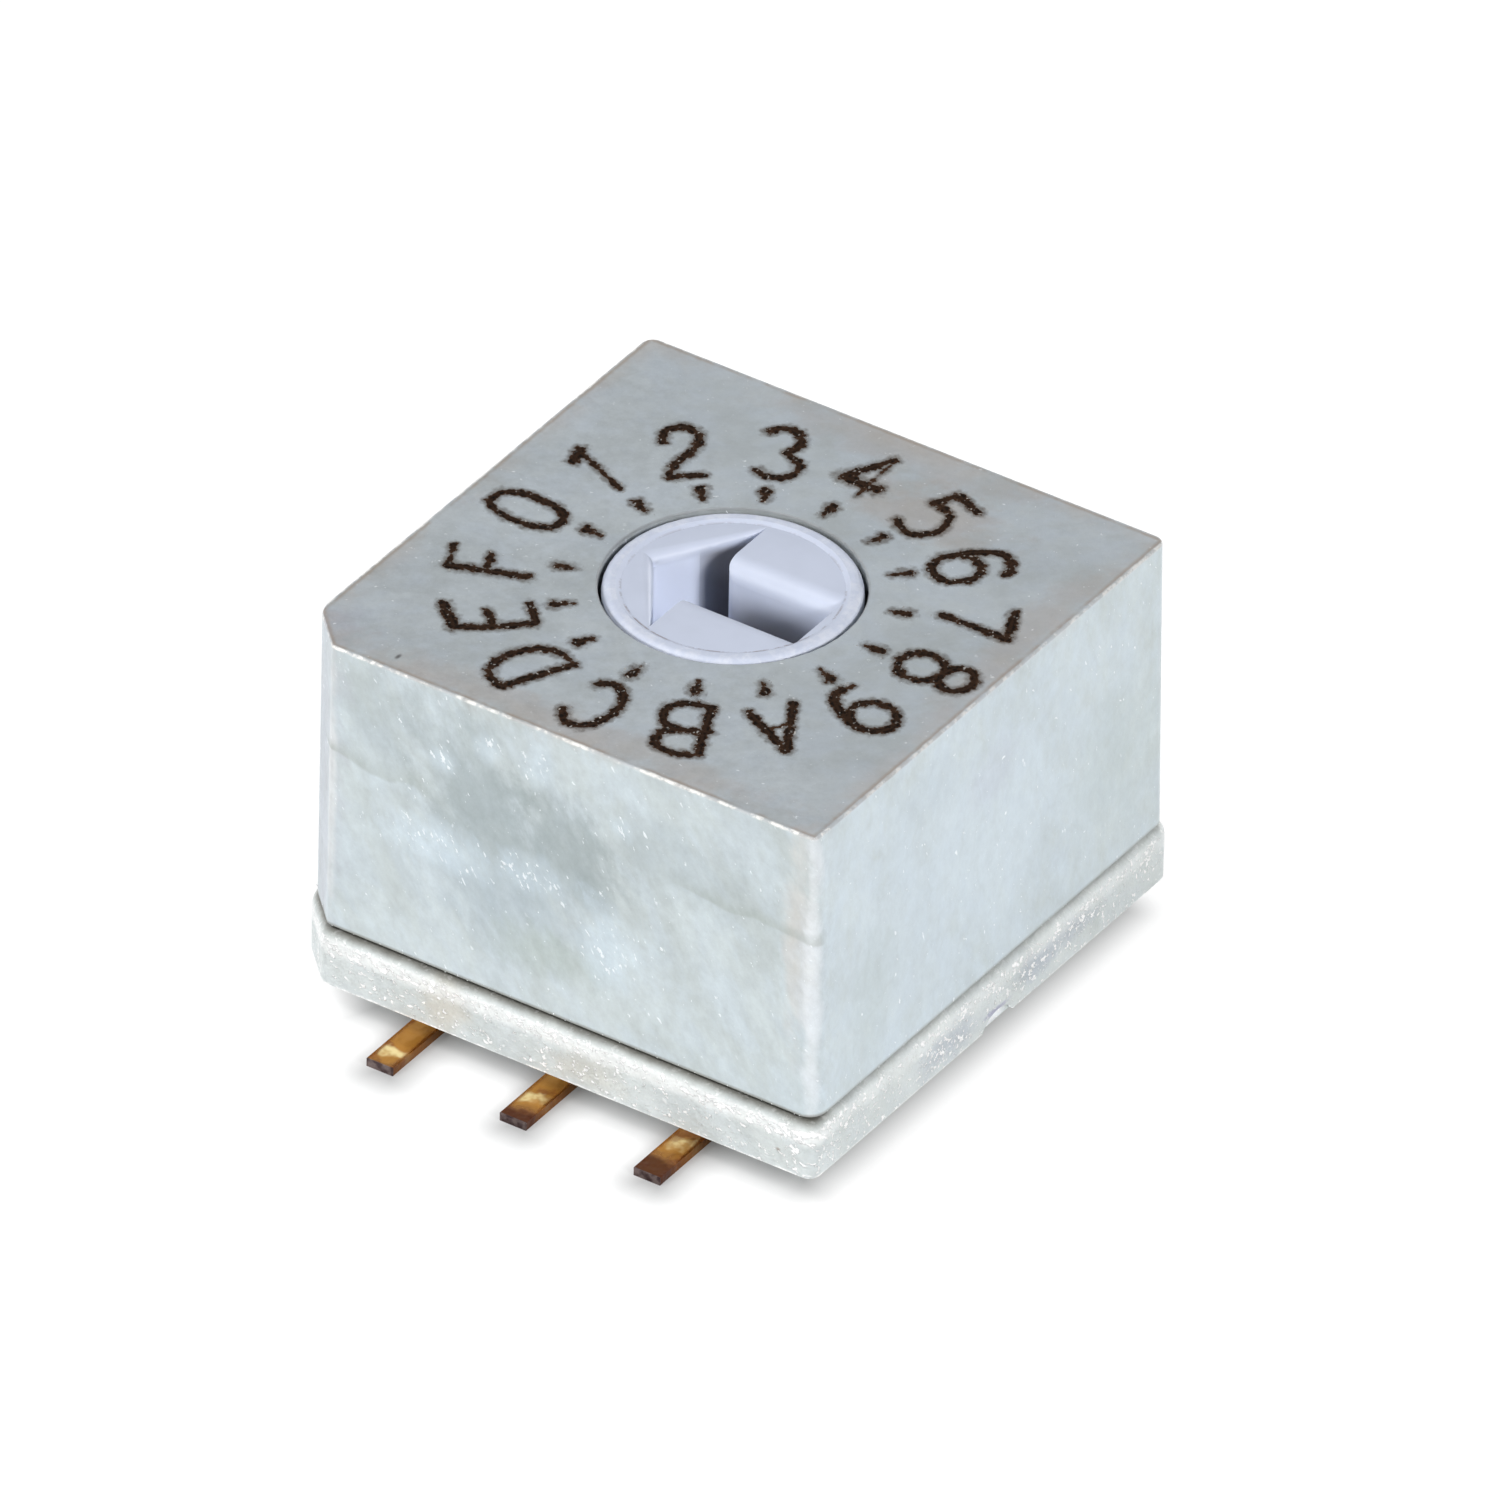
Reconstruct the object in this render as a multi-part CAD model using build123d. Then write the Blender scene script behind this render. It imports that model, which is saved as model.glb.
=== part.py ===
from build123d import *
from math import atan2, cos, degrees, hypot, radians, sin, sqrt, tan
import os

# A sealed sixteen-position rotary coded switch for surface mounting, in millimetres.
# Z points up from the plane of the solder feet. The dial's 0 and the rotor's arrow lie towards -X,
# and the housing's key corner, which is cut off and marks the first terminal, is at -X and -Y.

# Housing: a shell open below, with the dial on its top face
HOUSING_SIDE = 10.0
HOUSING_HEIGHT = 5.36
HOUSING_WALL = 0.75
CEILING = 1.15
DRAFT_FRONT = 0.1
DRAFT_BACK = 0.04
CORNER_R = 0.22
FRONT_TOP_R = 0.12
FRONT_FOOT_R = 0.3
KEY_CUT = 0.75
KEY_BACK_R = 0.6
KEY_FRONT_R = 0.15
INNER_CORNER_R = 0.2
HOUSING_EDGE_R = 0.04
HOLE_EDGE_R = 0.03

# Base: the moulded plate that closes the housing, with a spigot inside the housing's wall
STANDOFF = 0.33
BASE_LIP_X = 0.06
BASE_LIP_Y = 0.12
BASE_CORNER_R = 0.3
BASE_FRONT_R = 0.22
BASE_KEY_CUT = 0.8
BASE_HEIGHT = 1.03
BASE_EDGE_R = 0.2
BASE_FOOT_R = 0.02
SPIGOT_WALL = 0.55
SPIGOT_HEIGHT = 0.6
SPIGOT_CLEARANCE = 0.03
POST_R = 0.6
POST_HEIGHT = 2.4
GATE_WIDTH = 0.9
GATE_HEIGHT = 0.25
GATE_DEPTH = 0.08
GATE_Y = 0.13

# Joint between the housing and the base, filled by a sealing bead
JOINT_GAP = 0.05
JOINT_SETBACK = 0.03
JOINT_CORNER_R = 0.05

# Rotor: the shaft in the housing's hole, the notched wheel and the hub below it
ROTOR_R = 2.08
ROTOR_EDGE_R = 0.14
SHAFT_CLEARANCE = 0.06
WHEEL_SPACE = 0.75
WHEEL_HEIGHT = 1.3
AXIAL_CLEARANCE = 0.05
DRUM_R = 2.4
HUB_R = 1.1
HUB_FLAT = 0.85
HUB_SETBACK = 0.1
POST_CLEARANCE = 0.05
POST_END_CLEARANCE = 0.15

# Driver recess: a rim round the rotor's face, an arrow head and a slot with rounded shoulders
RIM_WIDTH = 0.3
RIM_STEP = 0.04
RIM_BEVEL = 0.08
RECESS_DEPTH = 1.6
TIP_MARGIN = 0.28
WING_MARGIN = 0.12
HEAD_BASE = 0.48
SLOT_HALF = 0.51
SLOT_END_MARGIN = 0.13
SHOULDER_R = 0.34
TIP_R = 0.08
ISLAND_R = 0.15
SLOT_CORNER_R = 0.12
HEAD_EDGE_R = 0.22
WING_EDGE_R = 0.07

# Shaft seal: an O-ring in a counterbore under the housing's top
SEAL_CORD = 0.5
SEAL_GAP = 0.03
SEAL_SLACK = 0.04

# Detent: sixteen notches in the wheel and a U-shaped leaf spring with two noses
POSITIONS = 16
NOTCH_R = 0.38
NOTCH_OUT = 0.14
NOSE_GAP = 0.03
NOSE_ANGLE = 35.0
SPRING_T = 0.12
SPRING_HEIGHT = 1.1
SPRING_DROP = 0.05
SPRING_BEND_R = 0.5
SHOULDER_BEND_R = 0.12
BACK_GAP = 0.02
ARM_GAP = 0.24
ARM_SETBACK = 0.8

# Code disc and plate: a common ring and four rings with a window for each open position
DISC_T = 0.5
PLATE_T = 0.12
RING_FIRST_R = 1.55
RING_PITCH = 0.42
RING_WIDTH = 0.34
RING_RIM = 0.06
HUB_FIT = 0.02

# Terminals: flat strips moulded into the base, with a solder foot outside it
STRIP_T = 0.15
PIN_WIDTH = 0.5
PIN_PITCH = 2.54
PIN_REACH = 0.9
RISER_INSET = 0.18
STRIP_BEND_R = 0.2

# Contact fingers: sprung strips welded to the terminals, which press up on the code plate
CONTACT_SPACE = 0.92
FINGER_T = 0.08
FINGER_WIDTH = 0.32
FINGER_ANGLE = 60.0
FINGER_BEND_R = 0.15
CREST_R = 0.2
CREST_GAP = 0.02
TIP_LENGTH = 0.3
TIP_DROP = 0.2
WELD_LENGTH = 0.6
WELD_SETBACK = 0.05

# Each contact's name, ring from the inside, pin column, side along Y and its finger's side along X
CONTACTS = (
    ("common", 0, 0, -1, 0),
    ("8", 1, -1, 1, -1),
    ("4", 2, 1, -1, 1),
    ("2", 3, 1, 1, 1),
    ("1", 4, -1, -1, -1),
)

# Heights above the plane of the feet
BASE_BOTTOM = STRIP_T + STANDOFF
BASE_TOP = BASE_BOTTOM + BASE_HEIGHT
HOUSING_BOTTOM = BASE_TOP + JOINT_GAP
TOP = HOUSING_BOTTOM + HOUSING_HEIGHT
CEILING_BOTTOM = TOP - CEILING
WHEEL_TOP = CEILING_BOTTOM - AXIAL_CLEARANCE
WHEEL_BOTTOM = WHEEL_TOP - WHEEL_HEIGHT
PLATE_BOTTOM = BASE_TOP + CONTACT_SPACE
PLATE_TOP = PLATE_BOTTOM + PLATE_T
DISC_TOP = PLATE_BOTTOM + DISC_T
POST_TOP = BASE_TOP + POST_HEIGHT
FACE = TOP - RIM_STEP

# Half widths and radii that follow from the sizes above
HOUSING_HALF = HOUSING_SIDE / 2
CAVITY_HALF = HOUSING_HALF - HOUSING_WALL
WHEEL_R = CAVITY_HALF - WHEEL_SPACE
BASE_HALF_X = HOUSING_HALF + BASE_LIP_X
BASE_HALF_Y = HOUSING_HALF + BASE_LIP_Y
SPIGOT_HALF = CAVITY_HALF - SPIGOT_CLEARANCE
CHAMBER_HALF = SPIGOT_HALF - SPIGOT_WALL
HOLE_R = ROTOR_R + SHAFT_CLEARANCE
RIM_R = ROTOR_R - RIM_WIDTH
NOTCH_CENTRE = WHEEL_R + NOTCH_OUT
PLATE_R = RING_FIRST_R + (len(CONTACTS) - 1) * RING_PITCH + RING_WIDTH / 2 + RING_RIM
STEP_ANGLE = 360 / POSITIONS
OVERCUT = 1.0


def keyed_plan(x_low, x_high, half_y, key_cut, radii):
    """Plan with its corner at -X and -Y cut off, and a radius for each of its five corners."""
    ends = [(x_high, -half_y), (x_high, half_y), (x_low, half_y)]
    points = [(x_low, key_cut - half_y), (x_low + key_cut, -half_y), *ends]
    return make_face(FilletPolyline(*points, radius=radii, close=True))


def keyed_block(half_x, half_y, key_cut, radii, low, high):
    """Upright block on such a plan."""
    plan = keyed_plan(-half_x, half_x, half_y, key_cut, radii)
    return extrude(Pos(0, 0, low) * plan, amount=high - low)


def inner_block(half, low, high):
    """Upright block with the corners of the housing's cavity."""
    corners = [(-half, -half), (half, -half), (half, half), (-half, half)]
    plan = make_face(FilletPolyline(*corners, radius=INNER_CORNER_R, close=True))
    return extrude(Pos(0, 0, low) * plan, amount=high - low)


def cylinder(radius, low, high):
    """Upright cylinder on the axis between two heights."""
    return extrude(Pos(0, 0, low) * Circle(radius), amount=high - low)


def block(x_low, x_high, y_low, y_high, z_low, z_high):
    """Box between two corners."""
    size = Box(x_high - x_low, y_high - y_low, z_high - z_low)
    return Pos((x_low + x_high) / 2, (y_low + y_high) / 2, (z_low + z_high) / 2) * size


def bent_strip(path, width, thickness, width_axis):
    """Flat strip swept along a bent centre line, with its width along the given axis."""
    section = Plane(origin=path @ 0, x_dir=width_axis, z_dir=path % 0) * Rectangle(width, thickness)
    return sweep(section, path=path)


def edges_at(solid, height, radius):
    """Edges that lie wholly at one height and no further than a radius from the axis."""
    near = 1e-3
    found = []
    for edge in solid.edges():
        box = edge.bounding_box()
        reach = max(-box.min.X, box.max.X, -box.min.Y, box.max.Y)
        if abs(box.min.Z - height) < near and abs(box.max.Z - height) < near and reach < radius + near:
            found.append(edge)
    return found


def ring_radius(ring):
    """Mean radius of one ring of the code plate."""
    return RING_FIRST_R + ring * RING_PITCH


def finger_place(ring, side, column):
    """Where a contact's finger touches its ring, in plan."""
    radius = ring_radius(ring)
    x = column * radius * sin(radians(FINGER_ANGLE))
    return x, side * sqrt(radius**2 - x**2)


def make_housing():
    """Shell, a little narrower at its top, with the shaft's hole and the seal's counterbore."""
    rest = [CORNER_R, CORNER_R]
    foot_radii = [KEY_BACK_R, KEY_FRONT_R, FRONT_FOOT_R, *rest]
    top_radii = [KEY_BACK_R, KEY_FRONT_R, FRONT_TOP_R, *rest]
    foot = keyed_plan(-HOUSING_HALF, HOUSING_HALF, HOUSING_HALF, KEY_CUT, foot_radii)
    back, front = DRAFT_BACK - HOUSING_HALF, HOUSING_HALF - DRAFT_FRONT
    top = keyed_plan(back, front, HOUSING_HALF, KEY_CUT, top_radii)
    shell = loft([Pos(0, 0, HOUSING_BOTTOM) * foot, Pos(0, 0, TOP) * top], ruled=True)
    shell = fillet(shell.faces().sort_by(Axis.Z)[-1].edges(), HOUSING_EDGE_R)
    shell -= inner_block(CAVITY_HALF, HOUSING_BOTTOM - OVERCUT, CEILING_BOTTOM)
    shell -= cylinder(HOLE_R, HOUSING_BOTTOM, TOP + OVERCUT)
    shell = fillet(edges_at(shell, TOP, HOLE_R), HOLE_EDGE_R)
    groove_r = ROTOR_R + SEAL_GAP + SEAL_CORD + SEAL_SLACK
    shell -= cylinder(groove_r, CEILING_BOTTOM - OVERCUT, CEILING_BOTTOM + SEAL_CORD + SEAL_SLACK)
    return shell


def make_base(terminals):
    """Plate with a lip outside the housing, a spigot inside it and a post, moulded round the strips."""
    radii = [KEY_BACK_R, BASE_FRONT_R, BASE_FRONT_R, BASE_CORNER_R, BASE_CORNER_R]
    plate = keyed_block(BASE_HALF_X, BASE_HALF_Y, BASE_KEY_CUT, radii, BASE_BOTTOM, BASE_TOP)
    plate = fillet(plate.faces().sort_by(Axis.Z)[-1].edges(), BASE_EDGE_R)
    plate = fillet(plate.faces().sort_by(Axis.Z)[0].edges(), BASE_FOOT_R)
    spigot_top = BASE_TOP + SPIGOT_HEIGHT
    plate += inner_block(SPIGOT_HALF, BASE_TOP, spigot_top) - inner_block(CHAMBER_HALF, BASE_TOP, spigot_top)
    plate += cylinder(POST_R, BASE_TOP, POST_TOP)
    gate_r = ((GATE_WIDTH / 2) ** 2 + GATE_HEIGHT**2) / (2 * GATE_HEIGHT)
    gate_centre = (BASE_HALF_X - GATE_DEPTH, GATE_Y, BASE_BOTTOM + GATE_HEIGHT - gate_r)
    plate -= extrude(Plane(origin=gate_centre, z_dir=(1, 0, 0)) * Circle(gate_r), amount=OVERCUT)
    for terminal in terminals:
        plate -= terminal
    return plate


def make_joint_seal():
    """Bead between the housing's lower edge and the base."""
    inset = BASE_EDGE_R + JOINT_SETBACK
    key_cut = BASE_KEY_CUT - inset * (2 - sqrt(2))
    half_x, half_y = BASE_HALF_X - inset, BASE_HALF_Y - inset
    bead = keyed_block(half_x, half_y, key_cut, JOINT_CORNER_R, BASE_TOP, HOUSING_BOTTOM)
    return bead - inner_block(CAVITY_HALF, BASE_TOP, HOUSING_BOTTOM)


def recess_outline():
    """Plan of the driver recess: an arrow head towards -X and a slot behind it."""
    tip_x = -(RIM_R - TIP_MARGIN)
    wing_y = sqrt((RIM_R - WING_MARGIN) ** 2 - HEAD_BASE**2)
    end_x = RIM_R - SLOT_END_MARGIN
    points = [
        (tip_x, 0),
        (-HEAD_BASE, -wing_y),
        (-HEAD_BASE, -SLOT_HALF),
        (end_x, -SLOT_HALF),
        (end_x, SLOT_HALF),
        (-HEAD_BASE, SLOT_HALF),
        (-HEAD_BASE, wing_y),
    ]
    radii = [TIP_R, 0, ISLAND_R, SLOT_CORNER_R, SLOT_CORNER_R, ISLAND_R, 0]
    return FilletPolyline(*points, radius=radii, close=True)


def slot_shoulders():
    """Cutter that rounds the slot's two long edges."""
    end_x = RIM_R - SLOT_END_MARGIN
    outer = SLOT_HALF + SHOULDER_R
    low = FACE - SHOULDER_R
    bow = SHOULDER_R * (1 - cos(radians(45)))
    left = ThreePointArc((-SLOT_HALF, low), (-SLOT_HALF - bow, FACE - bow), (-outer, FACE))
    right = ThreePointArc((outer, FACE), (SLOT_HALF + bow, FACE - bow), (SLOT_HALF, low))
    over = Polyline((-outer, FACE), (-outer, FACE + OVERCUT), (outer, FACE + OVERCUT), (outer, FACE))
    under = Line((SLOT_HALF, low), (-SLOT_HALF, low))
    profile = make_face([*left.edges(), *over.edges(), *right.edges(), *under.edges()])
    plane = Plane(origin=(-HEAD_BASE, 0, 0), x_dir=(0, 1, 0), z_dir=(1, 0, 0))
    return extrude(plane * profile, amount=end_x + HEAD_BASE) & cylinder(RIM_R, low, FACE + OVERCUT)


def head_rounding(side):
    """Cutter that rounds one long edge of the arrow head, from its tip's radius down to its wing's."""
    wing_y = sqrt((RIM_R - WING_MARGIN) ** 2 - HEAD_BASE**2)
    tip = Vector(TIP_MARGIN - RIM_R, 0, FACE)
    along = (Vector(-HEAD_BASE, side * wing_y, FACE) - tip).normalized()
    inward = Vector(side * along.Y, -side * along.X, 0)
    sections = []
    for reach, radius in ((-HEAD_EDGE_R, HEAD_EDGE_R), ((wing_y + WING_MARGIN) / abs(along.Y), WING_EDGE_R)):
        bow = radius * (1 - cos(radians(45)))
        arc = ThreePointArc((-radius, 0), (-bow, -bow), (0, -radius))
        rest = Polyline((0, -radius), (radius, -radius), (radius, radius), (-radius, radius), (-radius, 0))
        plane = Plane(origin=tip + along * reach, x_dir=inward, z_dir=inward.cross(Vector(0, 0, 1)))
        sections.append(plane * make_face([*arc.edges(), *rest.edges()]))
    low = FACE - HEAD_EDGE_R
    high = FACE + OVERCUT
    y_low, y_high = sorted((0, side * RIM_R))
    return loft(sections) & cylinder(RIM_R, low, high) & block(-RIM_R, -HEAD_BASE, y_low, y_high, low, high)


def make_rotor():
    """Shaft with the driver recess, the notched wheel, the drum and the flatted hub, bored for the post."""
    shaft = cylinder(ROTOR_R, WHEEL_TOP, TOP)
    shaft = fillet(edges_at(shaft, TOP, ROTOR_R), ROTOR_EDGE_R)
    shaft -= Pos(0, 0, TOP) * Cone(RIM_R, RIM_R + 2 * RIM_BEVEL, 2 * RIM_STEP)
    for cutter in (slot_shoulders(), head_rounding(-1), head_rounding(1)):
        shaft -= cutter
    rotor = shaft + cylinder(WHEEL_R, WHEEL_BOTTOM, WHEEL_TOP)
    recess = Pos(0, 0, TOP - RECESS_DEPTH) * make_face(recess_outline())
    rotor -= extrude(recess, amount=RECESS_DEPTH + OVERCUT)
    notch = Pos(NOTCH_CENTRE, 0, 0) * cylinder(NOTCH_R, WHEEL_BOTTOM - OVERCUT, WHEEL_TOP)
    for position in range(POSITIONS):
        rotor -= Rot(0, 0, position * STEP_ANGLE) * notch
    rotor += cylinder(DRUM_R, DISC_TOP, WHEEL_BOTTOM)
    rotor += hub_section(0, PLATE_BOTTOM + HUB_SETBACK, DISC_TOP)
    return rotor - cylinder(POST_R + POST_CLEARANCE, BASE_TOP, POST_TOP + POST_END_CLEARANCE)


def hub_section(clearance, low, high):
    """Cylinder with one flat, on the +X side, that keys the code disc to the rotor."""
    radius = HUB_R + clearance
    flat_x = HUB_FLAT + clearance
    return cylinder(radius, low, high) - block(flat_x, radius + OVERCUT, -radius, radius, low, high)


def make_shaft_seal():
    """O-ring round the shaft."""
    mean_r = ROTOR_R + SEAL_GAP + SEAL_CORD / 2
    return Pos(0, 0, CEILING_BOTTOM + SEAL_CORD / 2) * Torus(mean_r, SEAL_CORD / 2)


def make_detent_spring():
    """U-shaped leaf spring with its back against the +Y wall and a nose in the middle of each arm."""
    arm_x = CAVITY_HALF - ARM_GAP - SPRING_T / 2
    back_y = CAVITY_HALF - BACK_GAP - SPRING_T / 2
    end_y = -(CAVITY_HALF - ARM_SETBACK)
    nose_r = NOTCH_R - NOSE_GAP - SPRING_T / 2
    slope = radians(NOSE_ANGLE)
    apex_x = NOTCH_CENTRE - nose_r / sin(slope)
    nose_half = (arm_x - apex_x) * tan(slope)
    right = [(arm_x, end_y), (arm_x, -nose_half), (apex_x, 0), (arm_x, nose_half), (arm_x, back_y)]
    left = [(-x, y) for x, y in reversed(right)]
    nose_radii = [SHOULDER_BEND_R, nose_r, SHOULDER_BEND_R]
    radii = [*nose_radii, SPRING_BEND_R, SPRING_BEND_R, *nose_radii]
    middle = CEILING_BOTTOM - SPRING_DROP - SPRING_HEIGHT / 2
    path = Pos(0, 0, middle) * FilletPolyline(*right, *left, radius=radii)
    return bent_strip(path, SPRING_HEIGHT, SPRING_T, (0, 0, 1))


def ring_window(ring, place, position):
    """Sector of one ring that lies over the finger when the rotor stands at a position."""
    inner = ring_radius(ring) - RING_WIDTH / 2
    outer = ring_radius(ring) + RING_WIDTH / 2
    band = cylinder(outer, PLATE_BOTTOM, PLATE_TOP) - cylinder(inner, PLATE_BOTTOM, PLATE_TOP)
    reach = outer / cos(radians(STEP_ANGLE / 2)) + RING_RIM
    half = reach * tan(radians(STEP_ANGLE / 2))
    wedge = make_face(Polyline((0, 0), (reach, -half), (reach, half), close=True))
    wedge = extrude(Pos(0, 0, PLATE_BOTTOM) * wedge, amount=PLATE_T)
    angle = degrees(atan2(place[1], place[0])) + position * STEP_ANGLE
    return band & (Rot(0, 0, angle) * wedge)


def make_code_plate():
    """Stamped plate with windows where a contact is open, binary 8, 4, 2 and 1 from the inside out."""
    inner = RING_FIRST_R - RING_WIDTH / 2 - RING_RIM
    plate = cylinder(PLATE_R, PLATE_BOTTOM, PLATE_TOP) - cylinder(inner, PLATE_BOTTOM, PLATE_TOP)
    for name, ring, _, side, column in CONTACTS[1:]:
        place = finger_place(ring, side, column)
        for position in range(POSITIONS):
            if not position & int(name):
                plate -= ring_window(ring, place, position)
    return plate


def make_code_disc(code_plate):
    """Moulded carrier that fills the plate's windows flush and fits the rotor's hub."""
    disc = cylinder(PLATE_R, PLATE_BOTTOM, DISC_TOP)
    return disc - code_plate - hub_section(HUB_FIT, PLATE_BOTTOM, DISC_TOP)


def foot_path(side, end_y):
    """Centre line's points of a terminal from its foot's tip, up into the base and in to end_y."""
    middle = BASE_TOP - STRIP_T / 2
    riser_y = side * (SPIGOT_HALF - RISER_INSET)
    tip_y = side * (BASE_HALF_Y + PIN_REACH)
    return [(tip_y, STRIP_T / 2), (riser_y, STRIP_T / 2), (riser_y, middle), (end_y, middle)]


def make_terminal(ring, column, side, finger_column):
    """Strip with a solder foot, a riser through the base and a pad under its finger."""
    pin_x = column * PIN_PITCH
    plane = Plane(origin=(pin_x, 0, 0), x_dir=(0, 1, 0), z_dir=(1, 0, 0))
    if column == 0:
        near = foot_path(side, 0)[:-1]
        far = foot_path(-side, 0)[:-1]
        path = plane * FilletPolyline(*near, *reversed(far), radius=STRIP_BEND_R)
        return bent_strip(path, PIN_WIDTH, STRIP_T, (1, 0, 0))
    pad_end = CHAMBER_HALF - WELD_SETBACK
    pad_start = pad_end - WELD_LENGTH
    path = plane * FilletPolyline(*foot_path(side, side * pad_start), radius=STRIP_BEND_R)
    strip = bent_strip(path, PIN_WIDTH, STRIP_T, (1, 0, 0))
    finger_x = finger_place(ring, side, finger_column)[0]
    x_low = min(pin_x - PIN_WIDTH / 2, finger_x - FINGER_WIDTH / 2)
    x_high = max(pin_x + PIN_WIDTH / 2, finger_x + FINGER_WIDTH / 2)
    y_low, y_high = sorted((side * pad_start, side * pad_end))
    return strip + block(x_low, x_high, y_low, y_high, BASE_TOP - STRIP_T, BASE_TOP)


def make_contact(ring, side, finger_column):
    """Finger welded flat on its pad, rising to a crest under the code plate, with a turned-down tip."""
    x, contact_y = finger_place(ring, side, finger_column)
    weld_end = CHAMBER_HALF - WELD_SETBACK
    floor = BASE_TOP + FINGER_T / 2
    crest = PLATE_BOTTOM - CREST_GAP - FINGER_T / 2
    points = [
        (side * weld_end, floor),
        (side * (weld_end - WELD_LENGTH), floor),
        (contact_y, crest),
        (contact_y - side * TIP_LENGTH, crest - TIP_DROP),
    ]
    plane = Plane(origin=(x, 0, 0), x_dir=(0, 1, 0), z_dir=(1, 0, 0))
    path = plane * FilletPolyline(*points, radius=[FINGER_BEND_R, CREST_R])
    return bent_strip(path, FINGER_WIDTH, FINGER_T, (1, 0, 0))


def main():
    """Makes every piece and writes one file for each."""
    parts = {}
    for name, ring, column, side, finger_column in CONTACTS:
        parts["terminal_" + name] = make_terminal(ring, column, side, finger_column)
        parts["contact_" + name] = make_contact(ring, side, finger_column)
    terminals = [part for name, part in parts.items() if name.startswith("terminal_")]
    parts["base"] = make_base(terminals)
    parts["housing"] = make_housing()
    parts["joint_seal"] = make_joint_seal()
    parts["rotor"] = make_rotor()
    parts["shaft_seal"] = make_shaft_seal()
    parts["detent_spring"] = make_detent_spring()
    parts["code_plate"] = make_code_plate()
    parts["code_disc"] = make_code_disc(parts["code_plate"])
    os.makedirs("parts", exist_ok=True)
    for name, part in parts.items():
        export_step(part, f"parts/{name}.step")


main()
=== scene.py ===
"""Looks of a sealed rotary coded switch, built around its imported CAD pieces.

The switch is a marbled grey-blue moulding with a charred dial, a lavender rotor flush with its top, a thin
dark joint above its base, and gold feet that are tarnished amber and brown. Sizes are in millimetres unless
they say otherwise, and become metres where a mesh, a lamp or the camera is made.
"""

import logging
import math
from collections.abc import Callable, Sequence
from dataclasses import dataclass, field
from enum import Enum

import bpy
import numpy as np
from mathutils import Matrix, Vector


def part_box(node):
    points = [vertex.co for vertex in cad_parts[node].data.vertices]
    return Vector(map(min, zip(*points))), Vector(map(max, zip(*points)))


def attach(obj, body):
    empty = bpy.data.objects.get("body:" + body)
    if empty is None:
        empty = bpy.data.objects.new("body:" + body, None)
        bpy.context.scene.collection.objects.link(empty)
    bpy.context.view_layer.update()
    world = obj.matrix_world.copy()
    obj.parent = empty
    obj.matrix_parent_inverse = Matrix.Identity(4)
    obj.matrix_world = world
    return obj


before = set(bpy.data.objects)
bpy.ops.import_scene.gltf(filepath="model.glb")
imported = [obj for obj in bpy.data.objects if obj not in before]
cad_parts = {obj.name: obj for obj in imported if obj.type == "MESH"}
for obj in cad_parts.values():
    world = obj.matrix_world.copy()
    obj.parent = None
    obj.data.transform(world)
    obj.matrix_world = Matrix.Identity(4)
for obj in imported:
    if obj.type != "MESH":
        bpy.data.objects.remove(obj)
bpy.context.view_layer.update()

LOG = logging.getLogger("switch")
MM = 0.001
CASE = "case"
RING_STEPS = 16
CURVE_STEPS = 6
Colour = tuple[float, float, float]
Point = tuple[float, float, float]
UNTURNED: Point = (0.0, 0.0, 0.0)
WHITE: Colour = (1.0, 1.0, 1.0)


def node_box(node: str) -> tuple[Vector, Vector]:
    """Gives a CAD node's lowest and highest corners in millimetres."""
    low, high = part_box(node)
    return low / MM, high / MM


def summing(operation: str, swapped: bool = False) -> Callable[["Wire", "Value"], "Wire"]:
    """Makes the method for one sum on a wire and another value.

    Args:
        operation: The sum, as Blender's maths nodes call it.
        swapped: Whether the other value comes first.

    Returns:
        The method.
    """

    def method(wire: "Wire", other: "Value") -> "Wire":
        """Adds the sum's node."""
        return wire.wiring.sum(operation, *((other, wire) if swapped else (wire, other)))

    return method


class Wire:
    """One output of a node, on which sums can be done as on a number or a vector."""

    __add__ = __radd__ = summing("ADD")
    __sub__ = summing("SUBTRACT")
    __rsub__ = summing("SUBTRACT", swapped=True)
    __mul__ = __rmul__ = summing("MULTIPLY")
    __truediv__ = summing("DIVIDE")

    def __init__(self, wiring: "Wiring", socket: bpy.types.NodeSocket) -> None:
        """Keeps the output and the wiring that its sums go to."""
        self.wiring, self.socket = wiring, socket

    def __abs__(self) -> "Wire":
        """Gives its size without its sign."""
        return self.wiring.sum("ABSOLUTE", self)

    def __getitem__(self, name: str) -> "Wire":
        """Gives another output of its node."""
        return Wire(self.wiring, self.socket.node.outputs[name])

    @property
    def is_vector(self) -> bool:
        """Says whether it carries a vector or a colour."""
        return self.socket.type in ("VECTOR", "RGBA")


Value = float | tuple | Wire
Key = str | int
Inputs = dict[Key, Value]


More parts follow.
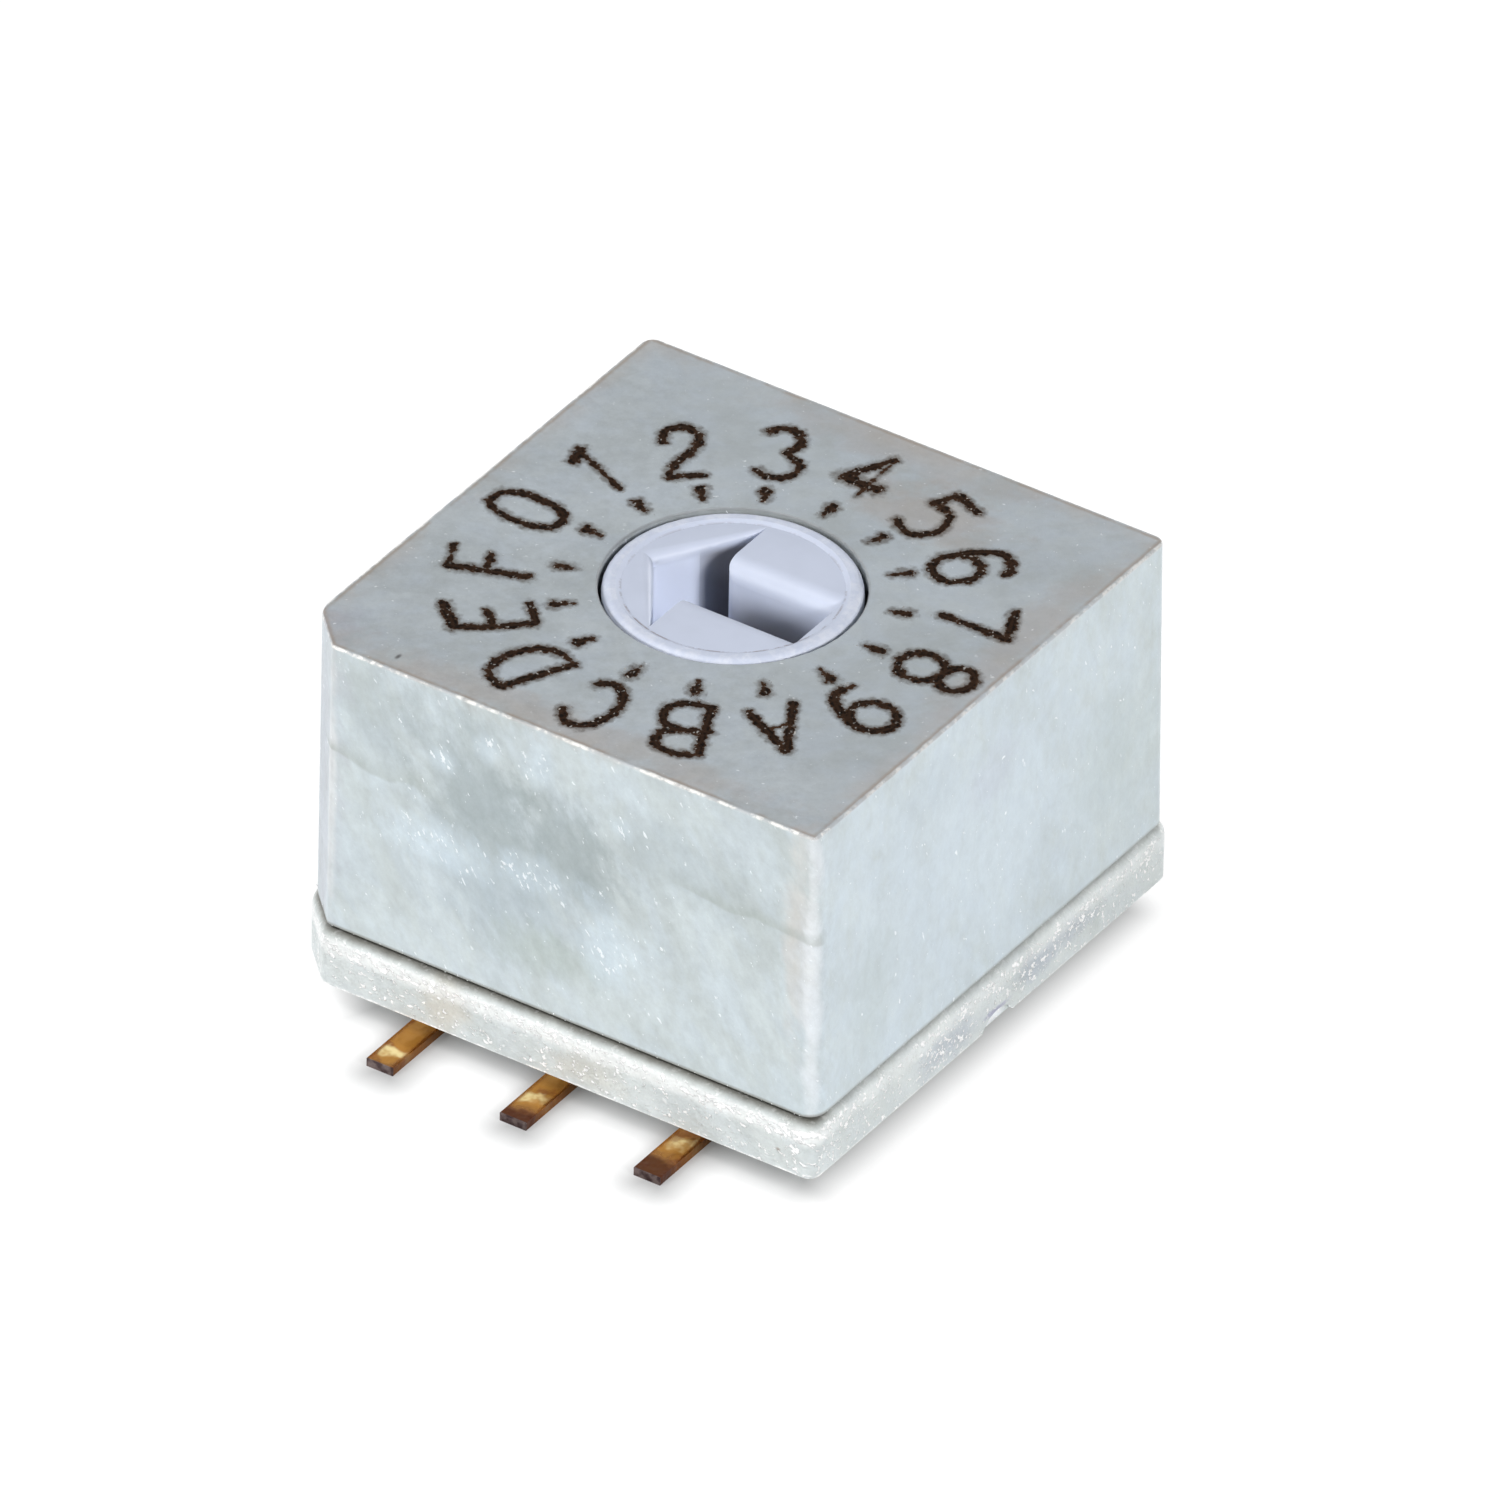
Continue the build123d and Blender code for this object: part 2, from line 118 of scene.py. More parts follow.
class Wiring:
    """Adds nodes to one tree and links them."""

    def __init__(self, tree: bpy.types.NodeTree) -> None:
        """Keeps the tree that the nodes go to."""
        self.tree = tree

    @classmethod
    def of(cls, owner: bpy.types.Material | bpy.types.World) -> "Wiring":
        """Empties the tree of a material or a world.

        Args:
            owner: The material or the world.

        Returns:
            The wiring of its tree.
        """
        owner.use_nodes = True
        owner.node_tree.nodes.clear()
        return cls(owner.node_tree)

    def set(self, socket: bpy.types.NodeSocket, value: Value) -> None:
        """Fills a socket.

        Args:
            socket: The input to fill.
            value: A wire to link it to, a number, a vector or a colour without alpha.
        """
        if isinstance(value, Wire):
            self.tree.links.new(value.socket, socket)
        elif socket.type == "RGBA":
            socket.default_value = (*value, 1.0)
        elif socket.type == "VECTOR" and isinstance(value, float):
            socket.default_value = (value, value, value)
        else:
            socket.default_value = value

    def add(self, kind: str, inputs: Inputs | None = None, **settings: object) -> bpy.types.Node:
        """Adds a node.

        Args:
            kind: The node's type, a shader node's without its leading ShaderNode.
            inputs: Values or wires for its inputs, by name or index.
            **settings: The node's own properties.

        Returns:
            The new node.
        """
        whole = kind.startswith(("Geometry", "Function", "NodeGroup"))
        made = self.tree.nodes.new(kind if whole else "ShaderNode" + kind)
        for name, value in settings.items():
            setattr(made, name, value)
        for key, value in (inputs or {}).items():
            self.set(made.inputs[key], value)
        return made

    def node(self, kind: str, inputs: Inputs | None = None, output: Key = 0, **settings: object) -> Wire:
        """Adds a node and gives one of its outputs."""
        return Wire(self, self.add(kind, inputs, **settings).outputs[output])

    def sum(self, operation: str, *values: Value) -> Wire:
        """Does one sum, on vectors where one of the values is a vector, and gives its result."""
        on_vectors = any(isinstance(value, tuple) or getattr(value, "is_vector", False) for value in values)
        return self.node("VectorMath" if on_vectors else "Math", dict(enumerate(values)), operation=operation)

    def most(self, a: Value, b: Value) -> Wire:
        """Gives the larger of two numbers."""
        return self.sum("MAXIMUM", a, b)

    def least(self, a: Value, b: Value) -> Wire:
        """Gives the smaller of two numbers."""
        return self.sum("MINIMUM", a, b)

    def length(self, vector: Wire) -> Wire:
        """Gives a vector's length."""
        return self.node("VectorMath", {0: vector}, "Value", operation="LENGTH")

    def turned(self, vector: Wire, turn: Value) -> Wire:
        """Turns a vector about the origin."""
        return self.node("VectorRotate", {"Vector": vector, "Rotation": turn}, rotation_type="EULER_XYZ")

    def axes(self, vector: Wire) -> list[Wire]:
        """Splits a vector into its X, Y and Z."""
        return [Wire(self, output) for output in self.add("SeparateXYZ", {0: vector}).outputs]

    def point(self, x: Value, y: Value, z: Value = 0.0) -> Wire:
        """Joins X, Y and Z into a vector."""
        return self.node("CombineXYZ", {0: x, 1: y, 2: z})

    def fade(self, value: Value, start: Value, end: Value, low: Value = 0.0, high: Value = 1.0) -> Wire:
        """Goes smoothly from low to high as the value goes from start to end."""
        inputs = {"Value": value, "From Min": start, "From Max": end, "To Min": low, "To Max": high}
        return self.node("MapRange", inputs, interpolation_type="SMOOTHSTEP")

    def fall(self, value: Value, start: Value, end: Value) -> Wire:
        """Goes smoothly from 1 to 0 as the value goes from start to end."""
        return self.fade(value, start, end, 1.0, 0.0)

    def mix(self, share: Value, under: Value, over: Value, blend: str = "MIX") -> Wire:
        """Lays a share of one colour over another."""
        inputs = {0: share, 6: under, 7: over}
        return self.node("Mix", inputs, 2, data_type="RGBA", blend_type=blend, clamp_factor=True)

    def noise(
        self, vector: Wire, scale: Value, detail: float = 3.0, rough: float = 0.55, output: int = 0
    ) -> Wire:
        """Adds a fractal noise and gives its number round 0.5, or its colour as output 1."""
        inputs = {"Vector": vector, "Scale": scale, "Detail": detail, "Roughness": rough}
        return self.node("TexNoise", inputs, output)

    def cells(self, vector: Wire, scale: Value, scatter: float = 1.0) -> Wire:
        """Adds a cell pattern and gives the distance from the nearest cell's middle."""
        return self.node("TexVoronoi", {"Vector": vector, "Scale": scale, "Randomness": scatter})


class Effect:
    """A shared effect: a node group that is built once and placed in each material with its own values."""

    vectors: str = "Vector"
    numbers: str = ""
    tree: bpy.types.NodeTree | None = None

    @staticmethod
    def wire(w: Wiring, *inputs: Wire) -> dict[str, Wire]:
        """Wires the inside. Each effect has its own.

        Args:
            w: The group's wiring.
            *inputs: The group's inputs, first the vectors and then the numbers.

        Returns:
            What feeds each of its outputs, which are numbers.
        """
        raise NotImplementedError

    @classmethod
    def build(cls, kinds: dict[str, str]) -> bpy.types.NodeTree:
        """Makes the node group.

        Args:
            kinds: Each input's name and kind.

        Returns:
            The group's tree.
        """
        tree = bpy.data.node_groups.new(cls.__name__, "ShaderNodeTree")
        for key, kind in kinds.items():
            tree.interface.new_socket(name=key, in_out="INPUT", socket_type="NodeSocket" + kind)
        w = Wiring(tree)
        source = w.add("NodeGroupInput")
        outputs = cls.wire(w, *(Wire(w, source.outputs[key]) for key in kinds))
        for key in outputs:
            tree.interface.new_socket(name=key, in_out="OUTPUT", socket_type="NodeSocketFloat")
        w.add("NodeGroupOutput", outputs)
        return tree

    @classmethod
    def place(cls, w: Wiring, *values: Value) -> Wire:
        """Places the effect in a material.

        Args:
            w: The material's wiring.
            *values: The material's values, first for the vectors and then for the numbers.

        Returns:
            The effect's first output.
        """
        vectors, numbers = cls.vectors.split(), cls.numbers.split()
        kinds = {**dict.fromkeys(vectors, "Vector"), **dict.fromkeys(numbers, "Float")}
        cls.tree = cls.tree or cls.build(kinds)
        return w.node("Group", dict(zip(kinds, values, strict=True)), node_tree=cls.tree)


class Clouds(Effect):
    """Broad clouds, a finer haze and thin veins, as in a marbled moulding."""

    numbers = "Scale Warp"

    @staticmethod
    def wire(w: Wiring, vector: Wire, scale: Wire, warp: Wire) -> dict[str, Wire]:
        """Bends the coordinates with one noise and reads the others along them.

        Args:
            w: The group's wiring.
            vector: The coordinates.
            scale: The clouds' scale.
            warp: How far the coordinates bend.

        Returns:
            The three masks.
        """
        bent = vector + (w.noise(vector, scale * 0.7, 2.0, output=1) - 0.5) * warp
        broad = w.noise(bent, scale, 5.0, 0.6)
        fine = w.noise(bent + (7.3, 2.9, 5.1), scale * 3.1, 4.0, 0.6)
        ridge = abs(w.noise(bent + (1.7, 8.8, 3.3), scale) - 0.5)
        return {
            "Cloud": w.fade(broad, 0.36, 0.64),
            "Haze": w.fade(fine, 0.38, 0.66),
            "Vein": w.fall(ridge, 0.0, 0.02),
        }


class Flecks(Effect):
    """Short bright flecks of glass fill, each with a brightness of its own."""

    vectors = "Vector Stretch"
    numbers = "Scale Share"

    @staticmethod
    def wire(w: Wiring, vector: Wire, stretch: Wire, scale: Wire, share: Wire) -> dict[str, Wire]:
        """Keeps a share of the cells of a stretched cell pattern.

        Args:
            w: The group's wiring.
            vector: The coordinates.
            stretch: How the pattern is stretched.
            scale: The cells' scale.
            share: The share of cells that shows.

        Returns:
            The mask.
        """
        wander = (w.noise(vector, 4.0, 2.0, output=1) - 0.5) * 0.25
        cells = w.cells((vector + wander) * stretch, scale)
        draw, shade, _ = w.axes(cells["Color"])
        kept = w.sum("LESS_THAN", draw, share) * w.fall(cells, 0.18, 0.46)
        return {"Fleck": kept * w.fade(shade, 0.0, 1.0, 0.25, 1.0)}


class Specks(Effect):
    """Sparse dark specks of dirt."""

    numbers = "Scale Share"

    @staticmethod
    def wire(w: Wiring, vector: Wire, scale: Wire, share: Wire) -> dict[str, Wire]:
        """Keeps few cells of a cell pattern, each smaller than its cell.

        Args:
            w: The group's wiring.
            vector: The coordinates.
            scale: The cells' scale.
            share: The share of cells that shows.

        Returns:
            The mask.
        """
        cells = w.cells(vector, scale)
        draw, size, _ = w.axes(cells["Color"])
        reach = w.fade(size, 0.0, 1.0, 0.08, 0.3)
        return {"Speck": w.sum("LESS_THAN", draw, share) * w.fall(cells, 0.0, reach)}


class EdgeDistance(Effect):
    """How far a point on an upright block is from the nearest of the block's upper and lower edges."""

    numbers = "Half_X Half_Y Top Bottom Key_Cut Left_Lean Right_Lean"

    @staticmethod
    def wire(w: Wiring, vector: Wire, *block: Wire) -> dict[str, Wire]:
        """Compares the distances to the sides and the cut corner with those to the top and the bottom.

        Args:
            w: The group's wiring.
            vector: The coordinates.
            *block: The block's sizes and leans, in the order of the names above.

        Returns:
            The distance.
        """
        half_x, half_y, top, bottom, cut, left, right = block
        x, y, z = w.axes(vector)
        lean = (z - bottom) / (top - bottom) * w.fade(x, -0.01, 0.01, left, right)
        key = (x + y + (half_x + half_y - cut)) * math.sqrt(0.5)
        side = w.least(w.least(half_x - lean - abs(x), half_y - abs(y)), key)
        return {"Distance": w.most(side, w.least(top - z, z - bottom))}


class SoftSpot(Effect):
    """A soft patch round a centre, turned and drawn out as asked, with a wandering outline."""

    vectors = "Vector Centre Reach Turn"
    numbers = "Wander"

    @staticmethod
    def wire(w: Wiring, vector: Wire, centre: Wire, reach: Wire, turn: Wire, wander: Wire) -> dict[str, Wire]:
        """Measures the distance in the patch's own reach and bends it with the wander it is given.

        Args:
            w: The group's wiring.
            vector: The coordinates.
            centre: The patch's middle.
            reach: How far it reaches along each axis.
            turn: How it is turned.
            wander: What is added to the distance.

        Returns:
            The mask.
        """
        near = w.fall(w.length(w.turned(vector - centre, turn) / reach) + wander, 0.05, 1.15)
        return {"Mask": near * (near * -0.6 + 1.6)}


class BoxDistance(Effect):
    """How far a point lies outside a flat rectangle round the origin, less than nothing inside it."""

    vectors = "Vector Half"

    @staticmethod
    def wire(w: Wiring, vector: Wire, half: Wire) -> dict[str, Wire]:
        """Adds the distance outside to the depth inside.

        Args:
            w: The group's wiring.
            vector: The coordinates.
            half: The rectangle's half sizes.

        Returns:
            The distance.
        """
        x, y, _ = w.axes(abs(vector) - half)
        outside = w.length(w.point(w.most(x, 0.0), w.most(y, 0.0)))
        return {"Distance": outside + w.least(w.most(x, y), 0.0)}


class Shine(Enum):
    """How a finish takes the light: its share of metal."""

    DULL = 0.0
    METAL = 1.0


@dataclass
class Skin:
    """What a finish wires: its colour, its roughness, and a height from 0 to 1 that stands for a depth."""

    colour: Wire
    roughness: Wire
    height: Wire
    depth: float
    more: dict[str, Value] = field(default_factory=dict)


@dataclass(frozen=True)
class Finish:
    """One material of the switch."""

    name: str
    shine: Shine = Shine.DULL

    def material(self) -> bpy.types.Material:
        """Makes the material from the surface that the finish wires.

        Returns:
            The finished material.
        """
        made = bpy.data.materials.new(self.name)
        w = Wiring.of(made)
        skin = self.surface(w, w.node("TexCoord", output="Object") * (1 / MM))
        relief = w.node("Bump", {"Height": skin.height, "Distance": skin.depth * MM, "Strength": 1.0})
        look = {"Base Color": skin.colour, "Roughness": skin.roughness, "Normal": relief}
        shader = w.node("BsdfPrincipled", {"Metallic": self.shine.value, **look, **skin.more})
        w.add("OutputMaterial", {"Surface": shader})
        return made

    def surface(self, w: Wiring, place: Wire) -> Skin:
        """Wires the surface. Each finish has its own.

        Args:
            w: The material's wiring.
            place: The surface's coordinates in millimetres.

        Returns:
            The wired surface.
        """
        raise NotImplementedError


@dataclass(frozen=True)
class Spot:
    """A soft patch of another tone in a moulding, with a share of extra flecks.

    Its reach is measured along the axes or, where it is drawn, with its last number along the flow.
    """

    centre: Point
    reach: Point
    colour: Colour
    strength: float
    sparkle: float = 0.0
    drawn: bool = False

    @property
    def is_wide(self) -> bool:
        """Says whether the whole wander bends its outline."""
        return max(self.reach) > 0.3


@dataclass(frozen=True)
class MarbledMoulding(Finish):
    """The glass-filled moulding of the housing and the base: clouds, bright flecks, worn edges, and painted
    highlights and shade.

    The moulding is an upright block with a cut corner, and its -X and +X sides lean in at the top.
    """

    node: str = ""
    key_cut: float = 0.0
    left_lean: float = 0.0
    right_lean: float = 0.0
    pale: Colour = (0.57, 0.635, 0.65)
    grey: Colour = (0.49, 0.545, 0.55)
    cool: Colour = (0.56, 0.64, 0.70)
    vein: Colour = (0.36, 0.40, 0.38)
    seam: Colour = (0.33, 0.37, 0.34)
    # colour of the painted shade round the bore
    bore_shade_line: Colour = (0.17, 0.16, 0.15)
    # The top face's painted shade, a tone that multiplies its colour.
    top_shade: Colour = WHITE
    # colour of the painted shade on the housing's lower edge
    lower_edge_shade: Colour = (0.18, 0.17, 0.14)
    # colour of the painted highlight on the base's rounded top edge
    rim_highlight: Colour = (0.95, 0.96, 0.95)
    # colour of the painted shade under the housing
    shade: Colour = (0.24, 0.235, 0.20)
    # colour of the painted shade at the joint's opening
    gap_shade: Colour = (0.065, 0.06, 0.045)
    dirt: Colour = (0.09, 0.07, 0.05)
    worn: Colour = (0.40, 0.345, 0.30)
    edge_line: Colour = (0.25, 0.18, 0.12)
    # colour of the painted highlights along the edges
    edge_highlight: Colour = (0.90, 0.885, 0.85)
    flow: Point = (0.51, 0.22, -0.83)
    fleck: Colour = (0.93, 0.97, 1.0)
    fleck_share: float = 0.12
    fleck_spread: float = 0.1
    fleck_gain: float = 0.75
    fleck_scale: float = 11.0
    grain_depth: float = 0.006
    spots: tuple[Spot, ...] = ()
    flow_line: float = 0.0
    joint: float = 0.0
    hole: float = 0.0

    def surface(self, w: Wiring, place: Wire) -> Skin:
        """Layers the marble, the spots, the flow line, the top's and the bore's painted shade, the joint's
        painted shade and highlight, the flecks, edges and dirt.

        Args:
            w: The material's wiring.
            place: The surface's coordinates in millimetres.

        Returns:
            The wired surface.
        """
        low, high = node_box(self.node)
        x, y, z = w.axes(place)
        on_side = w.fade(x + y, 0.1, 0.7)
        on_top = w.fade(z, high.z - 0.05, high.z - 0.01)
        turn = tuple(Vector(self.flow).rotation_difference(Vector((0.0, 0.0, 1.0))).to_euler())
        turned = w.turned(place, turn)
        drawn = turned * (1.0, 1.0, 0.45)
        marble = Clouds.place(w, drawn, 0.6, 0.9)
        colour = w.mix(marble, self.grey, self.pale)
        colour = w.mix(marble["Haze"] * 0.45, colour, self.cool)
        wander = w.noise(turned * (1.0, 1.0, 0.5), 1.9, 5.0, 0.68) - 0.5
        wanders = (wander * 0.6, wander * 2.0)
        sparkle: Value = 0.0
        for spot in self.spots:
            turning = turn if spot.drawn else UNTURNED
            mask = SoftSpot.place(w, place, spot.centre, spot.reach, turning, wanders[spot.is_wide])
            colour = w.mix(mask * spot.strength, colour, spot.colour)
            if spot.sparkle:
                sparkle = mask * spot.sparkle + sparkle
        colour = w.mix(marble["Vein"] * 0.07, colour, self.vein)
        if self.flow_line:
            colour = w.mix(self._flow_share(w, place), colour, self.seam)
        # A dark line round the bore's edge: painted shade of the clearance round the rotor.
        if self.hole:
            rim = abs(w.length(w.point(x, y)) - self.hole)
            colour = w.mix(w.fade(rim, 0.0, 0.035, 0.55, 0.0), colour, self.bore_shade_line)
        # Darkens the top face: painted shade.
        colour = w.mix(on_top, colour, w.mix(1.0, colour, self.top_shade, "MULTIPLY"))
        unshaded: Value = 1.0
        if self.joint:
            under = self.joint - z + (w.noise(place, 3.0) - 0.5) * 0.06
            share = w.fade(on_side, 0.0, 1.0, 1.0, 0.42)
            # A painted highlight on the base's rounded top edge below the joint, weaker on the +X side, with
            # extra flecks in it.
            highlight_band = w.fade(under, 0.10, 0.18) * w.fall(under, 0.32, 0.50) * share
            sparkle = highlight_band * 0.5 + sparkle
            colour = w.mix(highlight_band * 0.6, colour, self.rim_highlight)
            # Painted shade under the housing's edge: a shade fading down the base's shoulder and a dark line
            # at the joint, weaker on the +X side; the flecks are dimmed in it.
            colour = w.mix(w.fade(under, 0.04, 0.19, 0.45, 0.0) * share, colour, self.shade)
            colour = w.mix(w.fade(under, 0.02, 0.12, 0.85, 0.0) * share, colour, self.gap_shade)
            unshaded = w.fade(under, 0.08, 0.2, 0.1, 1.0)
        else:
            # Darkens the housing's lower edge over the joint, less on the +X side: painted shade.
            lower_edge_shade = w.fade(z, low.z, low.z + 0.07, 0.75, 0.0) * w.fade(on_side, 0.0, 1.0, 1.0, 0.5)
            colour = w.mix(lower_edge_shade, colour, self.lower_edge_shade)
        fleck = self._flecks(w, drawn, place, sparkle, on_top) * unshaded
        colour = w.mix(fleck * self.fleck_gain, colour, self.fleck)
        colour = self._edges(w, place, colour, on_top, on_side)
        colour = w.mix(Specks.place(w, place, 1.3, 0.05) * 0.7, colour, self.dirt)
        fine = w.noise(turned * (1.0, 1.0, 0.7), 4.0, 6.0, 0.75) - 0.5
        tone = fine * w.fade(on_side, 0.0, 1.0, 0.52, 0.3) + 1.0
        colour = w.mix(1.0, colour, w.point(tone, tone, tone), "MULTIPLY")
        grain = w.noise(place, 16.0, 3.0, 0.6)
        roughness = fleck * -0.25 + w.fade(grain, 0.2, 0.8, 0.45, 0.6)
        height = w.noise(place, 3.2, 4.0, 0.6) * 2.0 + (fleck * 0.8 + grain)
        return Skin(colour, roughness, height, self.grain_depth)

    def _flecks(self, w: Wiring, drawn: Wire, place: Wire, sparkle: Value, on_top: Wire) -> Wire:
        """Adds two layers of flecks drawn out along the flow, sparser and fainter on the dial's face.

        Args:
            w: The material's wiring.
            drawn: The coordinates in millimetres, shrunk along the flow.
            place: The coordinates in millimetres.
            sparkle: The share of cells with an extra fleck.
            on_top: 1 on the top face.

        Returns:
            How much of a fleck is at a point.
        """
        cluster = w.fade(w.noise(place, 0.9, 4.0, 0.65), 0.42, 0.66, self.fleck_spread, 1.0)
        share = (cluster * self.fleck_share + sparkle) * (on_top * -0.3 + 1.0)
        fibres = w.noise(drawn, self.fleck_scale, 3.0, 0.62) - (share * -0.14 + 0.69)
        sparks = Flecks.place(w, drawn, (1.0, 0.7, 0.9), 1.7 * self.fleck_scale, share * 0.3)
        return w.most(w.fade(fibres, 0.0, 0.05), sparks) * (on_top * -0.4 + 1.0)

    def _edges(self, w: Wiring, place: Wire, colour: Wire, on_top: Wire, on_side: Wire) -> Wire:
        """Adds the brown wear beside the top's edges and broken painted highlights along the edges.

        Args:
            w: The material's wiring.
            place: The coordinates in millimetres.
            colour: The colour so far.
            on_top: 1 on the top face.
            on_side: 1 on the +X side.

        Returns:
            The colour with its edges.
        """
        low, high = node_box(self.node)
        half = (high - low) / 2
        bottom = low.z if self.joint else low.z - 1.0
        block = (half.x, half.y, high.z, bottom, self.key_cut, self.left_lean, self.right_lean)
        away = (w.noise(place, 5.0, 5.0, 0.7) - 0.5) * 0.05 + EdgeDistance.place(w, place, *block)
        patch = w.noise(place, 0.8, 4.0, 0.7)
        wear = w.fall(away, 0.05, 0.55) * w.fade(patch, 0.42, 0.62, 0.15, 1.0) * on_top * 0.38
        colour = w.mix(wear, colour, self.worn)
        line = w.fade(away, 0.04, 0.065) * w.fall(away, 0.07, 0.14) * w.fade(patch, 0.36, 0.54, 0.2, 1.0)
        colour = w.mix(line * on_top * 0.5, colour, self.edge_line)
        # Painted highlights along the edges, broken up by noise and weaker on the +X side; none on the
        # housing's lower edge.
        edge_highlights = w.fall(away, 0.02, 0.06) * w.fade(w.noise(place, 4.0, 5.0, 0.7), 0.44, 0.6, 0.15, 1.0)
        return w.mix(edge_highlights * w.fade(on_side, 0.0, 1.0, 0.95, 0.5), colour, self.edge_highlight)

    def _flow_share(self, w: Wiring, place: Wire) -> Wire:
        """Draws the faint dark line where two flows of the moulding met, on the housing's -Y face.

        Args:
            w: The material's wiring.
            place: The coordinates in millimetres.

        Returns:
            How much of the line is at a point.
        """
        x, y, z = w.axes(place)
        above = z - self.flow_line + (w.noise(place, 0.7, 2.0, 0.4) - 0.5) * 0.9
        line = w.fade(above, -0.07, 0.0) * w.fall(above, 0.0, 0.3)
        return line * w.fade(abs(x), 1.8, 2.8) * (w.fall(y, -4.9, -4.6) * 0.42)


@dataclass(frozen=True)
class SatinMoulding(Finish):
    """The rotor's lavender moulding, darker in the corner of its rim, with painted light and shade in its
    recess.
    """

    colour: Colour = (0.58, 0.63, 0.76)
    scuff: Colour = (0.82, 0.84, 0.90)
    # colour of the darkening in the rim's corner and of the patches on the rim
    dirt: Colour = (0.20, 0.16, 0.17)
    # colour of the painted shade in the slot
    depth: Colour = (0.17, 0.165, 0.18)
    # colour of the painted light on the arrow head's walls
    painted_wall_light: Colour = (0.78, 0.84, 1.0)
    corner_radius: float = 1.78

    def surface(self, w: Wiring, place: Wire) -> Skin:
        """Wires a barely clouded colour, a darker rim corner, painted light on the head's walls, painted
        shade in the slot and a fine grain.

        Args:
            w: The material's wiring.
            place: The surface's coordinates in millimetres.

        Returns:
            The wired surface.
        """
        x, y, z = w.axes(place)
        top = node_box("rotor")[1].z
        radius = w.length(w.point(x, y))
        darker = tuple(part * 0.95 for part in self.colour)
        colour = w.mix(w.fade(w.noise(place, 1.1, 3.0, 0.5), 0.35, 0.65), darker, self.colour)
        face = w.fade(z, top - 0.12, top - 0.06)
        rim = w.fade(radius, 1.82, 1.88) * face
        colour = w.mix(rim * w.fade(w.noise(place, 4.0, 5.0, 0.7), 0.40, 0.66) * 0.4, colour, self.scuff)
        # Darkens the rim's inner corner in ragged patches, more towards -Y, and the rim itself in a few
        # patches.
        ragged = w.noise(place, 2.6, 6.0, 0.78)
        nearer = w.fade(y - x * 0.5, -1.6, 0.8, 1.0, 0.3)
        corner = w.fall(abs(radius - self.corner_radius), 0.0, 0.035) * face
        dirt = w.most(corner * (w.fade(ragged, 0.44, 0.56) * nearer), rim * w.fade(ragged, 0.69, 0.74) * 0.5)
        colour = w.mix(dirt * 0.85, colour, self.dirt)
        recess = w.fall(radius, 1.84, 1.9)
        below = recess * w.fall(z, top - 0.3, top - 0.12)
        wing = w.fade(y, 0.5, 0.98)
        # Lightens the arrow head's walls below the face, short of the wing: painted light.
        colour = w.mix(below * w.fall(x + wing * 2.0, -0.6, -0.45), colour, self.painted_wall_light)
        # Darkens the slot's deeper walls and the head's walls beside the wing: painted shade.
        slot = w.fade(x, -0.6, 0.0) * w.fall(z, top - 1.2, top - 0.35)
        slot_shade = recess * w.most(slot, wing * w.fall(x, -0.5, -0.35) * below)
        colour = w.mix(slot_shade * 0.85, colour, self.depth)
        grain = w.noise(place, 24.0, 3.0, 0.6)
        return Skin(colour, w.fade(grain, 0.2, 0.8, 0.42, 0.54), grain, 0.0015)


@dataclass(frozen=True)
class PlainMoulding(Finish):
    """A plain moulding or rubber with a fine grain."""

    colour: Colour = (0.05, 0.05, 0.05)
    worn: Colour = (0.08, 0.08, 0.08)
    roughness: float = 0.5

    def surface(self, w: Wiring, place: Wire) -> Skin:
        """Wires two close tones and a fine grain.

        Args:
            w: The material's wiring.
            place: The surface's coordinates in millimetres.

        Returns:
            The wired surface.
        """
        colour = w.mix(w.fade(w.noise(place, 2.0, 4.0, 0.6), 0.35, 0.7), self.colour, self.worn)
        grain = w.noise(place, 12.0, 3.0, 0.6)
        roughness = w.fade(grain, 0.2, 0.8, self.roughness - 0.08, self.roughness + 0.08)
        return Skin(colour, roughness, grain, 0.003)


@dataclass(frozen=True)
class RolledMetal(Finish):
    """Rolled strip, drawn out along one direction, with a film of tarnish."""

    colour: Colour = (0.62, 0.62, 0.60)
    film: Colour = (0.50, 0.49, 0.46)
    roughness: float = 0.28

    def surface(self, w: Wiring, place: Wire) -> Skin:
        """Wires fine rolling lines and a cloudy film.

        Args:
            w: The material's wiring.
            place: The surface's coordinates in millimetres.

        Returns:
            The wired surface.
        """
        lines = w.noise(place * (1.0, 0.08, 1.0), 40.0, 3.0, 0.6)
        colour = w.mix(w.fade(w.noise(place, 1.4, 4.0, 0.6), 0.4, 0.7), self.colour, self.film)
        roughness = w.fade(lines, 0.2, 0.8, self.roughness - 0.06, self.roughness + 0.1)
        return Skin(colour, roughness, lines, 0.0008)


